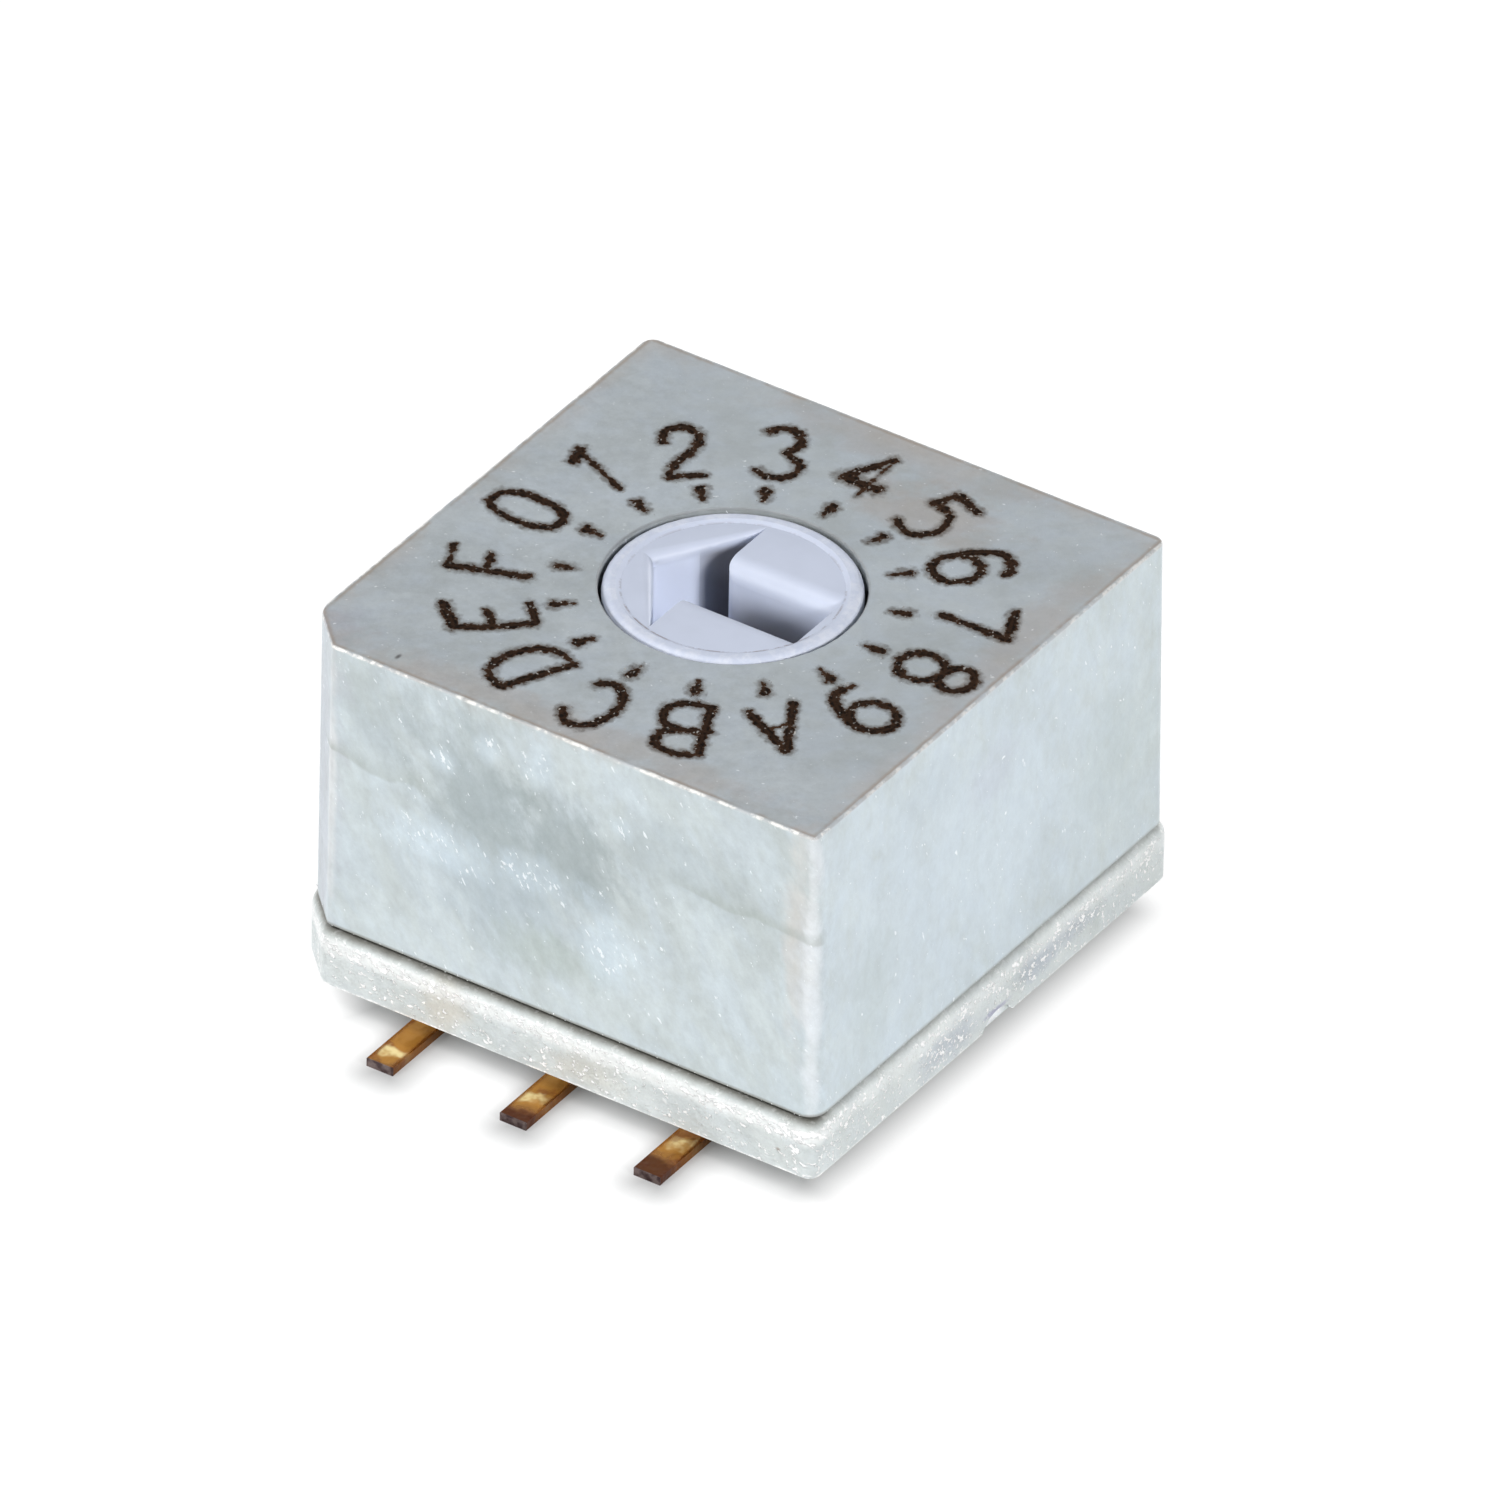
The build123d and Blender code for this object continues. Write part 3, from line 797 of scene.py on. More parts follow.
@dataclass(frozen=True)
class TarnishedGold(Finish):
    """The feet: amber, with a painted gold glint in patches near the base, and brown to purple-grey at the
    cut tips.
    """

    # colour of the painted glint
    gold: Colour = (0.99, 0.81, 0.40)
    amber: Colour = (0.475, 0.215, 0.032)
    dark_amber: Colour = (0.25, 0.075, 0.012)
    brown: Colour = (0.10, 0.028, 0.014)
    cut: Colour = (0.07, 0.042, 0.042)
    cut_light: Colour = (0.20, 0.15, 0.14)
    tip: float = 6.02
    pitch: float = 2.54

    def surface(self, w: Wiring, place: Wire) -> Skin:
        """Wires the tarnish and the painted gold glint, out to the cut tip.

        Args:
            w: The material's wiring.
            place: The surface's coordinates in millimetres.

        Returns:
            The wired surface.
        """
        x, y, _ = w.axes(place)
        tip, along = self.tip, abs(y)
        across = abs(x - w.sum("ROUND", x / self.pitch) * self.pitch)
        film = w.noise(place, 1.7)
        wave = film - 0.5
        bent = wave + along + w.fade(x, -3.0, 2.6, 0.02, 0.62)
        # A painted gold glint in patches across each foot, nearer the base on the feet towards +X.
        painted_glint = w.fade(bent, tip - 0.5, tip - 0.36) * w.fall(bent, tip - 0.3, tip - 0.12)
        patchy = w.fade(w.noise(place, 3.1), 0.4, 0.62, 0.25, 1.0)
        painted_glint = painted_glint * patchy * w.fade(across, 0.15, 0.22, 1.0, 0.1)
        edge = across + wave * 0.12
        amber = w.mix(w.fade(edge, 0.15, 0.24, 0.0, 0.65), self.amber, self.dark_amber)
        amber = w.mix(w.fade(w.noise(place, 2.6), 0.5, 0.62, 0.0, 0.7), amber, self.dark_amber)
        stain = w.fade(bent, tip - 0.16, tip + 0.2)
        colour = w.mix(stain * 0.9, w.mix(painted_glint, amber, self.gold), self.brown)
        end = w.fade(along, tip - 0.03, tip - 0.005)
        cut = w.mix(w.fade(w.noise(place, 6.0), 0.4, 0.65), self.cut, self.cut_light)
        colour = w.mix(end, colour, cut)
        metal = w.most(w.most(stain, w.fade(edge, 0.15, 0.24)), 0.6)
        height = w.noise(place, 14.0, 3.0, 0.6) * 0.02 + film
        return Skin(colour, w.most(stain, end) * 0.15 + 0.2, height, 0.05, {"Metallic": metal})


@dataclass(frozen=True)
class CharredMark(Finish):
    """What the laser left on the dial: a rough dark core, a brown rim and glassy specks beside it."""

    core: Colour = (0.006, 0.004, 0.003)
    scorch: Colour = (0.055, 0.028, 0.016)
    halo: Colour = (0.12, 0.085, 0.055)
    ash: Colour = (0.80, 0.78, 0.74)

    def surface(self, w: Wiring, place: Wire) -> Skin:
        """Wires the mark across each stroke from the attributes that the dial's mesh carries.

        Args:
            w: The material's wiring.
            place: The surface's coordinates in millimetres.

        Returns:
            The wired surface.
        """
        away = w.node("Attribute", output="Fac", attribute_name="stroke_distance")
        burn = w.node("Attribute", output="Fac", attribute_name="stroke_burn")
        pulses = w.cells(place, 8.5, 0.8)
        blots = w.noise(place, 7.0, 4.0, 0.7)
        crumbs = w.noise(place, 26.0, 3.0, 0.7)
        rough = (blots - 0.5) * 0.13 + away + (crumbs - 0.5) * 0.09 + (pulses - 0.4) * 0.09
        rough = rough + (1.0 - burn) * 0.045
        scorched = w.fall(rough, 0.075, 0.11)
        colour = w.mix(scorched, self.halo, self.scorch)
        pitted = w.fade(blots, 0.38, 0.6) * w.fade(pulses, 0.6, 0.35, 0.35, 1.0)
        dark = w.fall(rough, 0.04, 0.09) * w.most(pitted, w.fade(away, 0.01, 0.05, 0.55, 1.0))
        colour = w.mix(dark * w.fade(burn, 0.1, 0.7), colour, self.core)
        ash = Flecks.place(w, place, (1.0, 0.7, 1.0), 20.0, 0.13) * w.fade(rough, 0.0, 0.08, 0.25, 1.0)
        colour = w.mix(ash * 0.8, colour, self.ash)
        dense = w.most(scorched, w.fall(rough, 0.08, 0.2) * 0.45)
        dense = w.most(dense, ash * w.fade(away, 0.12, 0.2, 0.7, 0.0))
        more = {"Specular IOR Level": 0.02, "Alpha": dense}
        return Skin(colour, w.fade(crumbs, 0.2, 0.8, 0.5, 0.8), blots + crumbs, 0.012, more)


@dataclass(frozen=True)
class GlassCrumb(Finish):
    """Tiny crumbs of moulding flash along the housing's lower edge."""

    colour: Colour = (0.86, 0.88, 0.90)
    greyer: Colour = (0.55, 0.58, 0.56)

    def surface(self, w: Wiring, place: Wire) -> Skin:
        """Wires a white that varies from crumb to crumb.

        Args:
            w: The material's wiring.
            place: The surface's coordinates in millimetres.

        Returns:
            The wired surface.
        """
        tone = w.noise(place, 6.0, 2.0)
        colour = w.mix(w.fade(tone, 0.35, 0.65), self.colour, self.greyer)
        return Skin(colour, w.fade(tone, 0.3, 0.7, 0.15, 0.4), w.noise(place, 60.0, 2.0), 0.001)


def mesh_object(
    name: str, vertices: Sequence[Point] | np.ndarray, faces: Sequence | np.ndarray, edges: Sequence = ()
) -> bpy.types.Object:
    """Makes an object whose place is in its mesh.

    Args:
        name: The object's name.
        vertices: Its points, in millimetres.
        faces: Its faces, each as a row of vertex numbers.
        edges: Its loose edges.

    Returns:
        The linked object.
    """
    mesh = bpy.data.meshes.new(name)
    points = [tuple(float(part) * MM for part in vertex) for vertex in vertices]
    mesh.from_pydata(points, list(edges), [tuple(map(int, face)) for face in faces])
    made = bpy.data.objects.new(name, mesh)
    bpy.context.scene.collection.objects.link(made)
    return made


def dress(node: str, material: bpy.types.Material) -> None:
    """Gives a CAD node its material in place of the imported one.

    Args:
        node: The node's name.
        material: Its new material.
    """
    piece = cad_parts[node]
    piece.data.materials.clear()
    piece.data.materials.append(material)
    LOG.info("%s: %s", node, material.name)


def carry(piece: bpy.types.Object) -> None:
    """Lets a piece that belongs to the housing ride on the case.

    Args:
        piece: The piece, made in place.
    """
    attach(piece, CASE)
    LOG.info("%s: %d faces", piece.name, len(piece.data.polygons))


class GeometryTree(Wiring):
    """One Geometry Nodes tree with named inputs, whose result becomes a plain mesh."""

    def __init__(self, name: str, seed: int, inputs: dict[str, tuple[str, object]]) -> None:
        """Starts the tree.

        Args:
            name: The tree's name.
            seed: The seed of its random draws.
            inputs: Each other input's name, with its kind, such as Float or Int, and its value.
        """
        super().__init__(bpy.data.node_groups.new(name, "GeometryNodeTree"))
        sockets = self.tree.interface
        sockets.new_socket(name="Geometry", in_out="INPUT", socket_type="NodeSocketGeometry")
        self.values: dict[str, object] = {}
        for key, (kind, value) in {**inputs, "Seed": ("Int", seed)}.items():
            socket = sockets.new_socket(name=key, in_out="INPUT", socket_type="NodeSocket" + kind)
            self.values[socket.identifier] = value
        sockets.new_socket(name="Geometry", in_out="OUTPUT", socket_type="NodeSocketGeometry")
        self.source = self.add("NodeGroupInput")

    def __getitem__(self, name: str) -> Wire:
        """Gives one of the tree's inputs."""
        return Wire(self, self.source.outputs[name])

    def random(self, low: Value, high: Value, salt: float) -> Wire:
        """Draws one vector for each element.

        Args:
            low: Its lowest values.
            high: Its highest values.
            salt: What keeps this draw apart from the others.

        Returns:
            The drawn vector.
        """
        inputs = {0: low, 1: high, "Seed": self["Seed"] + salt}
        return self.node("FunctionNodeRandomValue", inputs, data_type="FLOAT_VECTOR")

    def apply(
        self, piece: bpy.types.Object, instances: Wire, material: bpy.types.Material
    ) -> bpy.types.Object:
        """Ends the tree, runs it on a piece and keeps the plain mesh that comes out.

        Args:
            piece: The object that carries the tree's starting mesh.
            instances: What the tree has placed.
            material: The material that it gets.

        Returns:
            The same object with its new mesh and no modifier.
        """
        real = self.node("GeometryNodeRealizeInstances", {0: instances})
        dressed = self.node("GeometryNodeSetMaterial", {"Geometry": real, "Material": material})
        self.add("NodeGroupOutput", {0: dressed})
        modifier = piece.modifiers.new(self.tree.name, "NODES")
        modifier.node_group = self.tree
        for identifier, value in self.values.items():
            modifier[identifier] = value
        graph = bpy.context.evaluated_depsgraph_get()
        graph.update()
        result = bpy.data.meshes.new_from_object(piece.evaluated_get(graph))
        piece.modifiers.remove(modifier)
        piece.data = result
        return piece


@dataclass(frozen=True)
class Stroke:
    """One stroke of a character: points across and up from the middle of its foot, in millimetres."""

    points: tuple[tuple[float, float], ...]
    bent: bool = True
    burn: float = 1.0
    width: float = 1.0


def ring(
    x: float, y: float, half_width: float, half_height: float, square: float = 2.3
) -> tuple[tuple[float, float], ...]:
    """Gives the points of a closed, slightly squared oval.

    Args:
        x: How far across its middle lies.
        y: How far up its middle lies.
        half_width: Its half width.
        half_height: Its half height.
        square: How squared it is, from 2 for none.

    Returns:
        Its points, the first again at the end.
    """
    points = []
    for step in range(RING_STEPS + 1):
        angle = math.tau * step / RING_STEPS
        cos, sin = math.cos(angle), math.sin(angle)
        across = math.copysign(abs(cos) ** (2 / square), cos)
        up = math.copysign(abs(sin) ** (2 / square), sin)
        points.append((x + half_width * across, y + half_height * up))
    return tuple(points)


CHARACTERS: dict[str, tuple[Stroke, ...]] = {
    "0": (Stroke(ring(-0.01, 0.69, 0.35, 0.64, 2.4)),),
    "1": (
        Stroke(((-0.13, 1.12), (0.13, 1.33)), False, 1.0, 1.1),
        Stroke(((0.09, 1.27), (0.08, 0.7), (0.06, 0.1)), True, 0.62, 0.95),
    ),
    "2": (
        Stroke((
            (-0.285, 1.02), (-0.25, 1.18), (-0.135, 1.34), (0.04, 1.39), (0.215, 1.31), (0.31, 1.15),
            (0.3, 0.95), (0.19, 0.76), (0.015, 0.58), (-0.185, 0.4), (-0.33, 0.17), (-0.35, 0.03),
        )),
        Stroke(((-0.35, 0.03), (0.15, 0.02)), False),
    ),
    "3": (
        Stroke((
            (-0.29, 1.24), (-0.14, 1.35), (0.035, 1.37), (0.185, 1.28), (0.26, 1.1), (0.235, 0.9),
            (0.1, 0.71),
        )),
        Stroke((
            (0.1, 0.71), (0.26, 0.57), (0.37, 0.37), (0.31, 0.15), (0.185, 0.03), (0.01, 0.01),
            (-0.165, 0.04), (-0.265, 0.15),
        ), True, 0.9),
    ),
    "4": (
        Stroke(((0.1, 1.27), (-0.33, 0.44)), False),
        Stroke(((-0.34, 0.43), (0.33, 0.44)), False, 1.0, 1.35),
        Stroke(((0.12, 1.27), (0.15, 0.08)), False, 0.4, 0.8),
    ),
    "5": (
        Stroke(((0.295, 1.27), (-0.255, 1.28)), False),
        Stroke(((-0.255, 1.28), (-0.305, 0.83)), False),
        Stroke((
            (-0.32, 0.82), (-0.105, 0.87), (0.12, 0.83), (0.295, 0.65), (0.38, 0.43), (0.32, 0.18),
            (0.17, 0.03), (-0.03, 0.01), (-0.23, 0.08),
        ), True, 0.85),
    ),
    "6": (
        Stroke((
            (0.3, 1.14), (0.19, 1.24), (-0.01, 1.28), (-0.21, 1.22), (-0.335, 1.02), (-0.37, 0.77),
            (-0.37, 0.5),
        )),
        Stroke(ring(0.01, 0.4, 0.37, 0.39, 2.0)),
    ),
    "7": (
        Stroke(((-0.38, 1.26), (0.36, 1.27)), False),
        Stroke(((0.36, 1.27), (-0.07, 0.15)), False),
    ),
    "8": (
        Stroke(ring(0.0, 1.04, 0.32, 0.27, 2.0)),
        Stroke(ring(0.02, 0.39, 0.37, 0.38, 2.0)),
    ),
    "9": (
        Stroke(ring(0.045, 0.85, 0.36, 0.4, 2.0)),
        Stroke(((0.42, 0.95), (0.41, 0.55), (0.345, 0.25), (0.22, 0.03), (0.02, -0.03))),
        Stroke(((0.02, -0.03), (-0.16, -0.02)), False, 0.35),
    ),
    "A": (
        Stroke(((0.0, 1.23), (-0.35, -0.02)), False, 0.9),
        Stroke(((0.01, 1.23), (0.38, 0.1)), False, 0.9),
        Stroke(((-0.16, 0.52), (0.14, 0.6)), False, 0.3, 0.8),
    ),
    "B": (
        Stroke(((-0.34, 1.3), (-0.32, 0.0)), False),
        Stroke((
            (-0.34, 1.3), (-0.19, 1.33), (0.11, 1.31), (0.31, 1.18), (0.365, 0.97), (0.28, 0.78),
            (0.06, 0.68),
        )),
        Stroke((
            (-0.4, 0.66), (0.06, 0.68), (0.2, 0.65), (0.335, 0.52), (0.38, 0.27), (0.3, 0.08), (0.11, -0.02),
            (-0.19, -0.02), (-0.32, 0.02),
        )),
    ),
    "C": (
        Stroke((
            (0.375, 0.98), (0.275, 1.15), (0.125, 1.26), (-0.05, 1.26), (-0.2, 1.15), (-0.3, 0.9),
            (-0.34, 0.62), (-0.3, 0.35), (-0.175, 0.12), (0.02, 0.0), (0.175, 0.03), (0.3, 0.15),
        )),
    ),
    "D": (
        Stroke(((-0.25, 1.3), (-0.35, 0.0)), False),
        Stroke((
            (-0.25, 1.3), (0.1, 1.28), (0.295, 1.12), (0.41, 0.85), (0.41, 0.57), (0.32, 0.3), (0.17, 0.1),
            (-0.03, 0.0),
        )),
        Stroke(((-0.03, 0.0), (-0.35, 0.0)), False, 0.45),
    ),
    "E": (
        Stroke(((-0.235, 1.3), (-0.32, 0.7), (-0.35, 0.02))),
        Stroke(((-0.235, 1.29), (0.41, 1.33)), False, 1.0, 1.1),
        Stroke(((-0.31, 0.68), (0.13, 0.69)), False, 0.9, 0.9),
        Stroke(((-0.335, 0.0), (0.19, -0.01)), False, 0.85),
    ),
    "F": (
        Stroke(((-0.29, 1.3), (-0.33, 0.03)), False, 1.0, 1.1),
        Stroke(((-0.29, 1.29), (0.285, 1.33)), False, 0.75, 0.85),
        Stroke(((-0.215, 0.69), (0.13, 0.69)), False, 0.85),
    ),
}


@dataclass
class Dial:
    """The laser marking on the housing's top: sixteen characters and sixteen ticks round the rotor."""

    centre: tuple[float, float] = (0.065, -0.13)
    foot_radius: float = 3.2
    half_width: float = 0.68
    foot: float = -0.28
    head: float = 1.66
    cell: float = 0.025
    reach: float = 0.21
    lift: float = 0.002
    swell: float = 0.006
    swell_reach: float = 0.11
    faint_loss: float = 0.02
    tick_radius: float = 2.675
    tick_length: float = 0.29
    tick_width: float = 0.82
    tick_taper: float = 0.028
    tick_fade: float = 0.6
    tick_lean: float = 0.09
    tick_shifts: tuple[float, ...] = (
        0.075, 0.07, 0.04, -0.005, 0.025, 0.045, 0.0, 0.01,
        0.035, 0.035, 0.03, 0.025, 0.025, 0.095, 0.1, 0.075,
    )
    steps: int = 16
    character_seed: int = 16
    tick_seed: int = 5
    top: float = field(default_factory=lambda: node_box("housing")[1].z)

    def build(self, material: bpy.types.Material) -> None:
        """Makes the characters and the ticks from their material, and lets them ride on the case."""
        for piece in (self._characters(material), self._ticks(material)):
            carry(piece)

    def _axes(self, step: int) -> tuple[np.ndarray, np.ndarray]:
        """Gives the directions outwards and across at a step of the dial, clockwise from -X."""
        angle = math.pi - math.tau * step / self.steps
        return np.array([math.cos(angle), math.sin(angle)]), np.array([math.sin(angle), -math.cos(angle)])

    @staticmethod
    def _polyline(stroke: Stroke) -> np.ndarray:
        """Smooths a stroke.

        Args:
            stroke: The stroke.

        Returns:
            Its points, with a curve through them where the stroke bends.
        """
        points = np.array(stroke.points, float)
        if not stroke.bent or len(points) < 3:
            return points
        closed = np.allclose(points[0], points[-1])
        before = points[-2] if closed else 2 * points[0] - points[1]
        after = points[1] if closed else 2 * points[-1] - points[-2]
        padded = np.vstack([before, points, after])
        t = np.linspace(0, 1, CURVE_STEPS + 1)[:-1, None]
        spans = [
            0.5 * (2 * b + (c - a) * t + (2 * a - 5 * b + 4 * c - d) * t**2 + (3 * b - a - 3 * c + d) * t**3)
            for a, b, c, d in zip(padded, padded[1:], padded[2:], padded[3:], strict=False)
        ]
        return np.vstack([*spans, points[-1:]])

    def _patch(self, strokes: tuple[Stroke, ...]) -> tuple[np.ndarray, np.ndarray, np.ndarray, np.ndarray]:
        """Makes the fine mesh of one upright character, cut off a little way from its strokes.

        Args:
            strokes: The character's strokes.

        Returns:
            Its flat points, its faces, and each point's distance from a stroke and that stroke's burn.
        """
        across = np.arange(-self.half_width, self.half_width, self.cell)
        up = np.arange(self.foot, self.head, self.cell)
        grid = np.stack(np.meshgrid(across, up, indexing="ij"), -1).reshape(-1, 2)
        distance, burn, nearest = np.full(len(grid), np.inf), np.ones(len(grid)), grid.copy()
        for stroke in strokes:
            line = self._polyline(stroke)
            for a, b in zip(line, line[1:], strict=False):
                along = np.clip(((grid - a) @ (b - a)) / max(float((b - a) @ (b - a)), 1e-12), 0, 1)
                foot = a + along[:, None] * (b - a)
                away = np.linalg.norm(grid - foot, axis=1) / stroke.width
                away = away + self.faint_loss * (1 - stroke.burn)
                closer = away < distance
                distance[closer], burn[closer], nearest[closer] = away[closer], stroke.burn, foot[closer]
        index = np.arange(len(grid)).reshape(len(across), len(up))
        corners = np.stack([index[:-1, :-1], index[1:, :-1], index[1:, 1:], index[:-1, 1:]], -1)
        corners = corners.reshape(-1, 4)
        kept = corners[(distance[corners] < self.reach).any(1)]
        used, compact = np.unique(kept, return_inverse=True)
        points, far = grid[used], distance[used] > self.reach
        outward = points[far] - nearest[used][far]
        points[far] = nearest[used][far] + outward * (self.reach / distance[used][far])[:, None]
        return points, compact.reshape(-1, 4), np.minimum(distance[used], self.reach), burn[used]

    def _characters(self, material: bpy.types.Material) -> bpy.types.Object:
        """Sets the sixteen characters round the dial, tops outwards.

        Args:
            material: Their material.

        Returns:
            The characters as one piece.
        """
        generator = np.random.default_rng(self.character_seed)
        vertices, faces, distances, burns = [], [], [], []
        count = 0
        for step, strokes in enumerate(CHARACTERS.values()):
            flat, quads, distance, burn = self._patch(strokes)
            outward, across = self._axes(step)
            plan = np.array(self.centre) + flat[:, :1] * across + (flat[:, 1:] + self.foot_radius) * outward
            swell = np.clip(1 - distance / self.swell_reach, 0, 1) * generator.uniform(0.3, 1.0, len(flat))
            vertices.append(np.column_stack([plan, self.top + self.lift + self.swell * swell]))
            faces.append(quads[:, ::-1] + count)
            distances.append(distance)
            burns.append(burn)
            count += len(flat)
        piece = mesh_object("dial_characters", np.vstack(vertices), np.vstack(faces))
        for name, values in (("stroke_distance", distances), ("stroke_burn", burns)):
            attribute = piece.data.attributes.new(name, "FLOAT", "POINT")
            attribute.data.foreach_set("value", np.concatenate(values).astype(np.float32))
        piece.data.materials.append(material)
        return piece

    def _ticks(self, material: bpy.types.Material) -> bpy.types.Object:
        """Repeats one fine patch round the dial with Geometry Nodes and stores each point's distance on it.

        Args:
            material: The ticks' material.

        Returns:
            The ticks as one piece.
        """
        centre = tuple(part * MM for part in (*self.centre, self.top + self.lift))
        sizes = {"Length": self.tick_length * MM, "Reach": self.reach * MM, "Cell": self.cell * MM}
        inputs = {**{key: ("Float", size) for key, size in sizes.items()}, "Centre": ("Vector", centre)}
        g = GeometryTree("dial_ticks", self.tick_seed, inputs)
        length, cell = g["Length"], g["Cell"]
        wide = g["Reach"] * 2.0
        long = length + wide
        counts = {"Vertices X": wide / cell + 1.0, "Vertices Y": long / cell + 1.0}
        patch = g.node("GeometryNodeMeshGrid", {"Size X": wide, "Size Y": long, **counts})
        place = g.node("GeometryNodeInputPosition")
        x, y, _ = g.axes(place)
        half = length * 0.5
        past = g.most(abs(y) - half, 0.0)
        inner = g.most((half - y) / length, 0.0)
        distance = g.sum("SQRT", x * x + past * past) / MM * self.tick_width + inner * self.tick_taper
        stored = patch
        for name, value in (("stroke_distance", distance), ("stroke_burn", 1.0 - inner * self.tick_fade)):
            inputs = {"Geometry": stored, "Name": name, "Value": value}
            stored = g.node("GeometryNodeStoreNamedAttribute", inputs, data_type="FLOAT", domain="POINT")
        outward = g.node("FunctionNodeAlignEulerToVector", {"Vector": place}, axis="Y")
        lean = g.random((0.0, 0.0, -self.tick_lean), (0.0, 0.0, self.tick_lean), 2.0)
        turned = g.node("FunctionNodeRotateEuler", {"Rotation": outward, "Rotate By": lean}, space="LOCAL")
        inputs = {"Points": g["Geometry"], "Instance": stored, "Rotation": turned}
        placed = g.node("GeometryNodeInstanceOnPoints", inputs)
        centred = g.node("GeometryNodeTransform", {"Geometry": placed, "Translation": g["Centre"]})
        points = []
        for step, shift in enumerate(self.tick_shifts):
            outward, across = self._axes(step)
            points.append((*(self.tick_radius * outward + shift * across), 0.0))
        return g.apply(mesh_object("dial_ticks", points, []), centred, material)


@dataclass
class Shell:
    """The housing and the base: two marbled mouldings, with crumbs of flash where they meet."""

    crumb_count: int = 380
    crumb_size: float = 0.02
    crumb_rise: float = 0.02
    crumb_inset: float = 0.012
    crumb_clearance: float = 0.01
    crumb_spread: Point = (0.01, 0.01, 0.035)
    crumb_turn: Point = (6.28, 6.28, 6.28)
    crumb_least: Point = (0.15, 0.15, 0.15)
    crumb_most: Point = (1.3, 0.8, 0.7)
    crumb_seed: int = 3
    key_cut: float = 0.75
    base_key_cut: float = 0.8
    right_lean: float = 0.1
    left_lean: float = 0.04
    corner_radius: float = 0.22
    front_radius: float = 0.3
    hole_radius: float = 2.14
    flow_line_depth: float = 2.0
    joint_drop: float = 0.03

    def dress(self) -> None:
        """Gives both mouldings their finishes and adds the crumbs."""
        low, high = node_box("housing")
        dress("housing", self._housing_finish(high.z).material())
        dress("base", self._base_finish(low.z).material())
        carry(self._crumbs(GlassCrumb("glass_crumb").material(), low.z))

    def _housing_finish(self, top: float) -> MarbledMoulding:
        """Gives the housing's finish, with the clouds where they lie on its faces, and painted shade and
        highlights at its corners.

        Args:
            top: The height of its top face.

        Returns:
            The finish.
        """
        slate, green, bright = (0.29, 0.34, 0.35), (0.41, 0.47, 0.44), (0.66, 0.77, 0.85)
        warm = (0.47, 0.41, 0.35)
        front, side = -5.0, 5.0
        spots = (
            Spot((-3.3, front, top - 1.0), (0.9, 0.9, 0.9), slate, 0.25, drawn=True),
            Spot((-1.5, front, top - 1.7), (1.15, 1.1, 2.1), slate, 0.62, drawn=True),
            Spot((0.3, front, top - 2.05), (0.9, 1.1, 1.6), slate, 0.62, drawn=True),
            Spot((-0.6, front, top - 2.6), (2.4, 1.2, 1.7), slate, 0.3),
            Spot((2.2, front, top - 1.6), (2.0, 1.0, 0.9), slate, 0.3),
            Spot((-0.7, front, top - 3.6), (2.1, 1.0, 1.0), (0.38, 0.45, 0.50), 0.5),
            Spot((0.0, front, top - 4.2), (1.1, 1.0, 0.6), green, 0.65),
            Spot((-2.2, front, top - 3.0), (1.4, 1.0, 0.5), bright, 0.45, 0.55),
            Spot((-0.4, front, top - 2.85), (0.8, 1.0, 0.45), bright, 0.35, 0.6),
            Spot((1.1, front, top - 3.6), (0.8, 1.0, 0.9), bright, 0.45, 0.55),
            Spot((-0.35, front, top - 0.8), (0.35, 1.0, 0.45), bright, 0.35, 0.7),
            Spot((1.25, front, top - 1.3), (0.3, 1.0, 0.3), bright, 0.35, 0.7),
            Spot((-2.1, front, top - 1.35), (0.32, 1.0, 0.32), bright, 0.4, 0.7),
            Spot((-1.25, front, top - 0.8), (0.32, 1.0, 0.3), bright, 0.4, 0.7),
            Spot((4.62, front, top - 1.8), (0.32, 0.5, 2.4), (0.66, 0.60, 0.55), 0.45),
            # Painted shade on the cut corner's face.
            Spot((-4.62, -4.62, top - 2.7), (0.75, 0.75, 6.0), (0.46, 0.475, 0.53), 0.6),
            # Painted highlight on the rounded front corner.
            Spot((4.93, front, top - 2.7), (0.22, 0.22, 3.4), (0.86, 0.85, 0.84), 0.7),
            # Painted highlight along the edge where the cut corner meets the front face.
            Spot((-4.22, front, top - 2.7), (0.12, 0.15, 3.0), (0.80, 0.81, 0.80), 0.5),
            Spot((side, -1.0, top - 2.7), (0.5, 7.0, 4.5), (0.575, 0.66, 0.74), 0.5),
            Spot((side, -1.6, top - 0.9), (0.6, 1.1, 0.5), (0.48, 0.55, 0.60), 0.4),
            Spot((side, 0.1, top - 1.6), (0.6, 0.9, 0.8), (0.51, 0.555, 0.63), 0.45),
            Spot((side, 3.6, top - 3.3), (0.6, 1.6, 1.6), green, 0.3),
            Spot((side, -3.4, top - 3.8), (0.6, 0.8, 1.2), green, 0.25),
            Spot((1.5, 3.4, top), (1.7, 0.8, 0.4), warm, 0.5),
            Spot((4.5, 1.5, top), (0.5, 2.6, 0.3), warm, 0.4),
            Spot((0.0, 4.6, top), (3.0, 0.5, 0.3), warm, 0.35),
            Spot((0.0, -4.6, top), (4.5, 0.45, 0.3), warm, 0.4),
            Spot((-3.21, -4.64, top), (0.05, 0.10, 0.2), (0.05, 0.05, 0.05), 0.9),
        )
        return MarbledMoulding(
            "marbled_housing",
            node="housing",
            key_cut=self.key_cut,
            left_lean=self.left_lean,
            right_lean=self.right_lean,
            # painted shade on the top face
            top_shade=(0.72, 0.71, 0.735),
            spots=spots,
            flow_line=top - self.flow_line_depth,
            hole=self.hole_radius,
        )

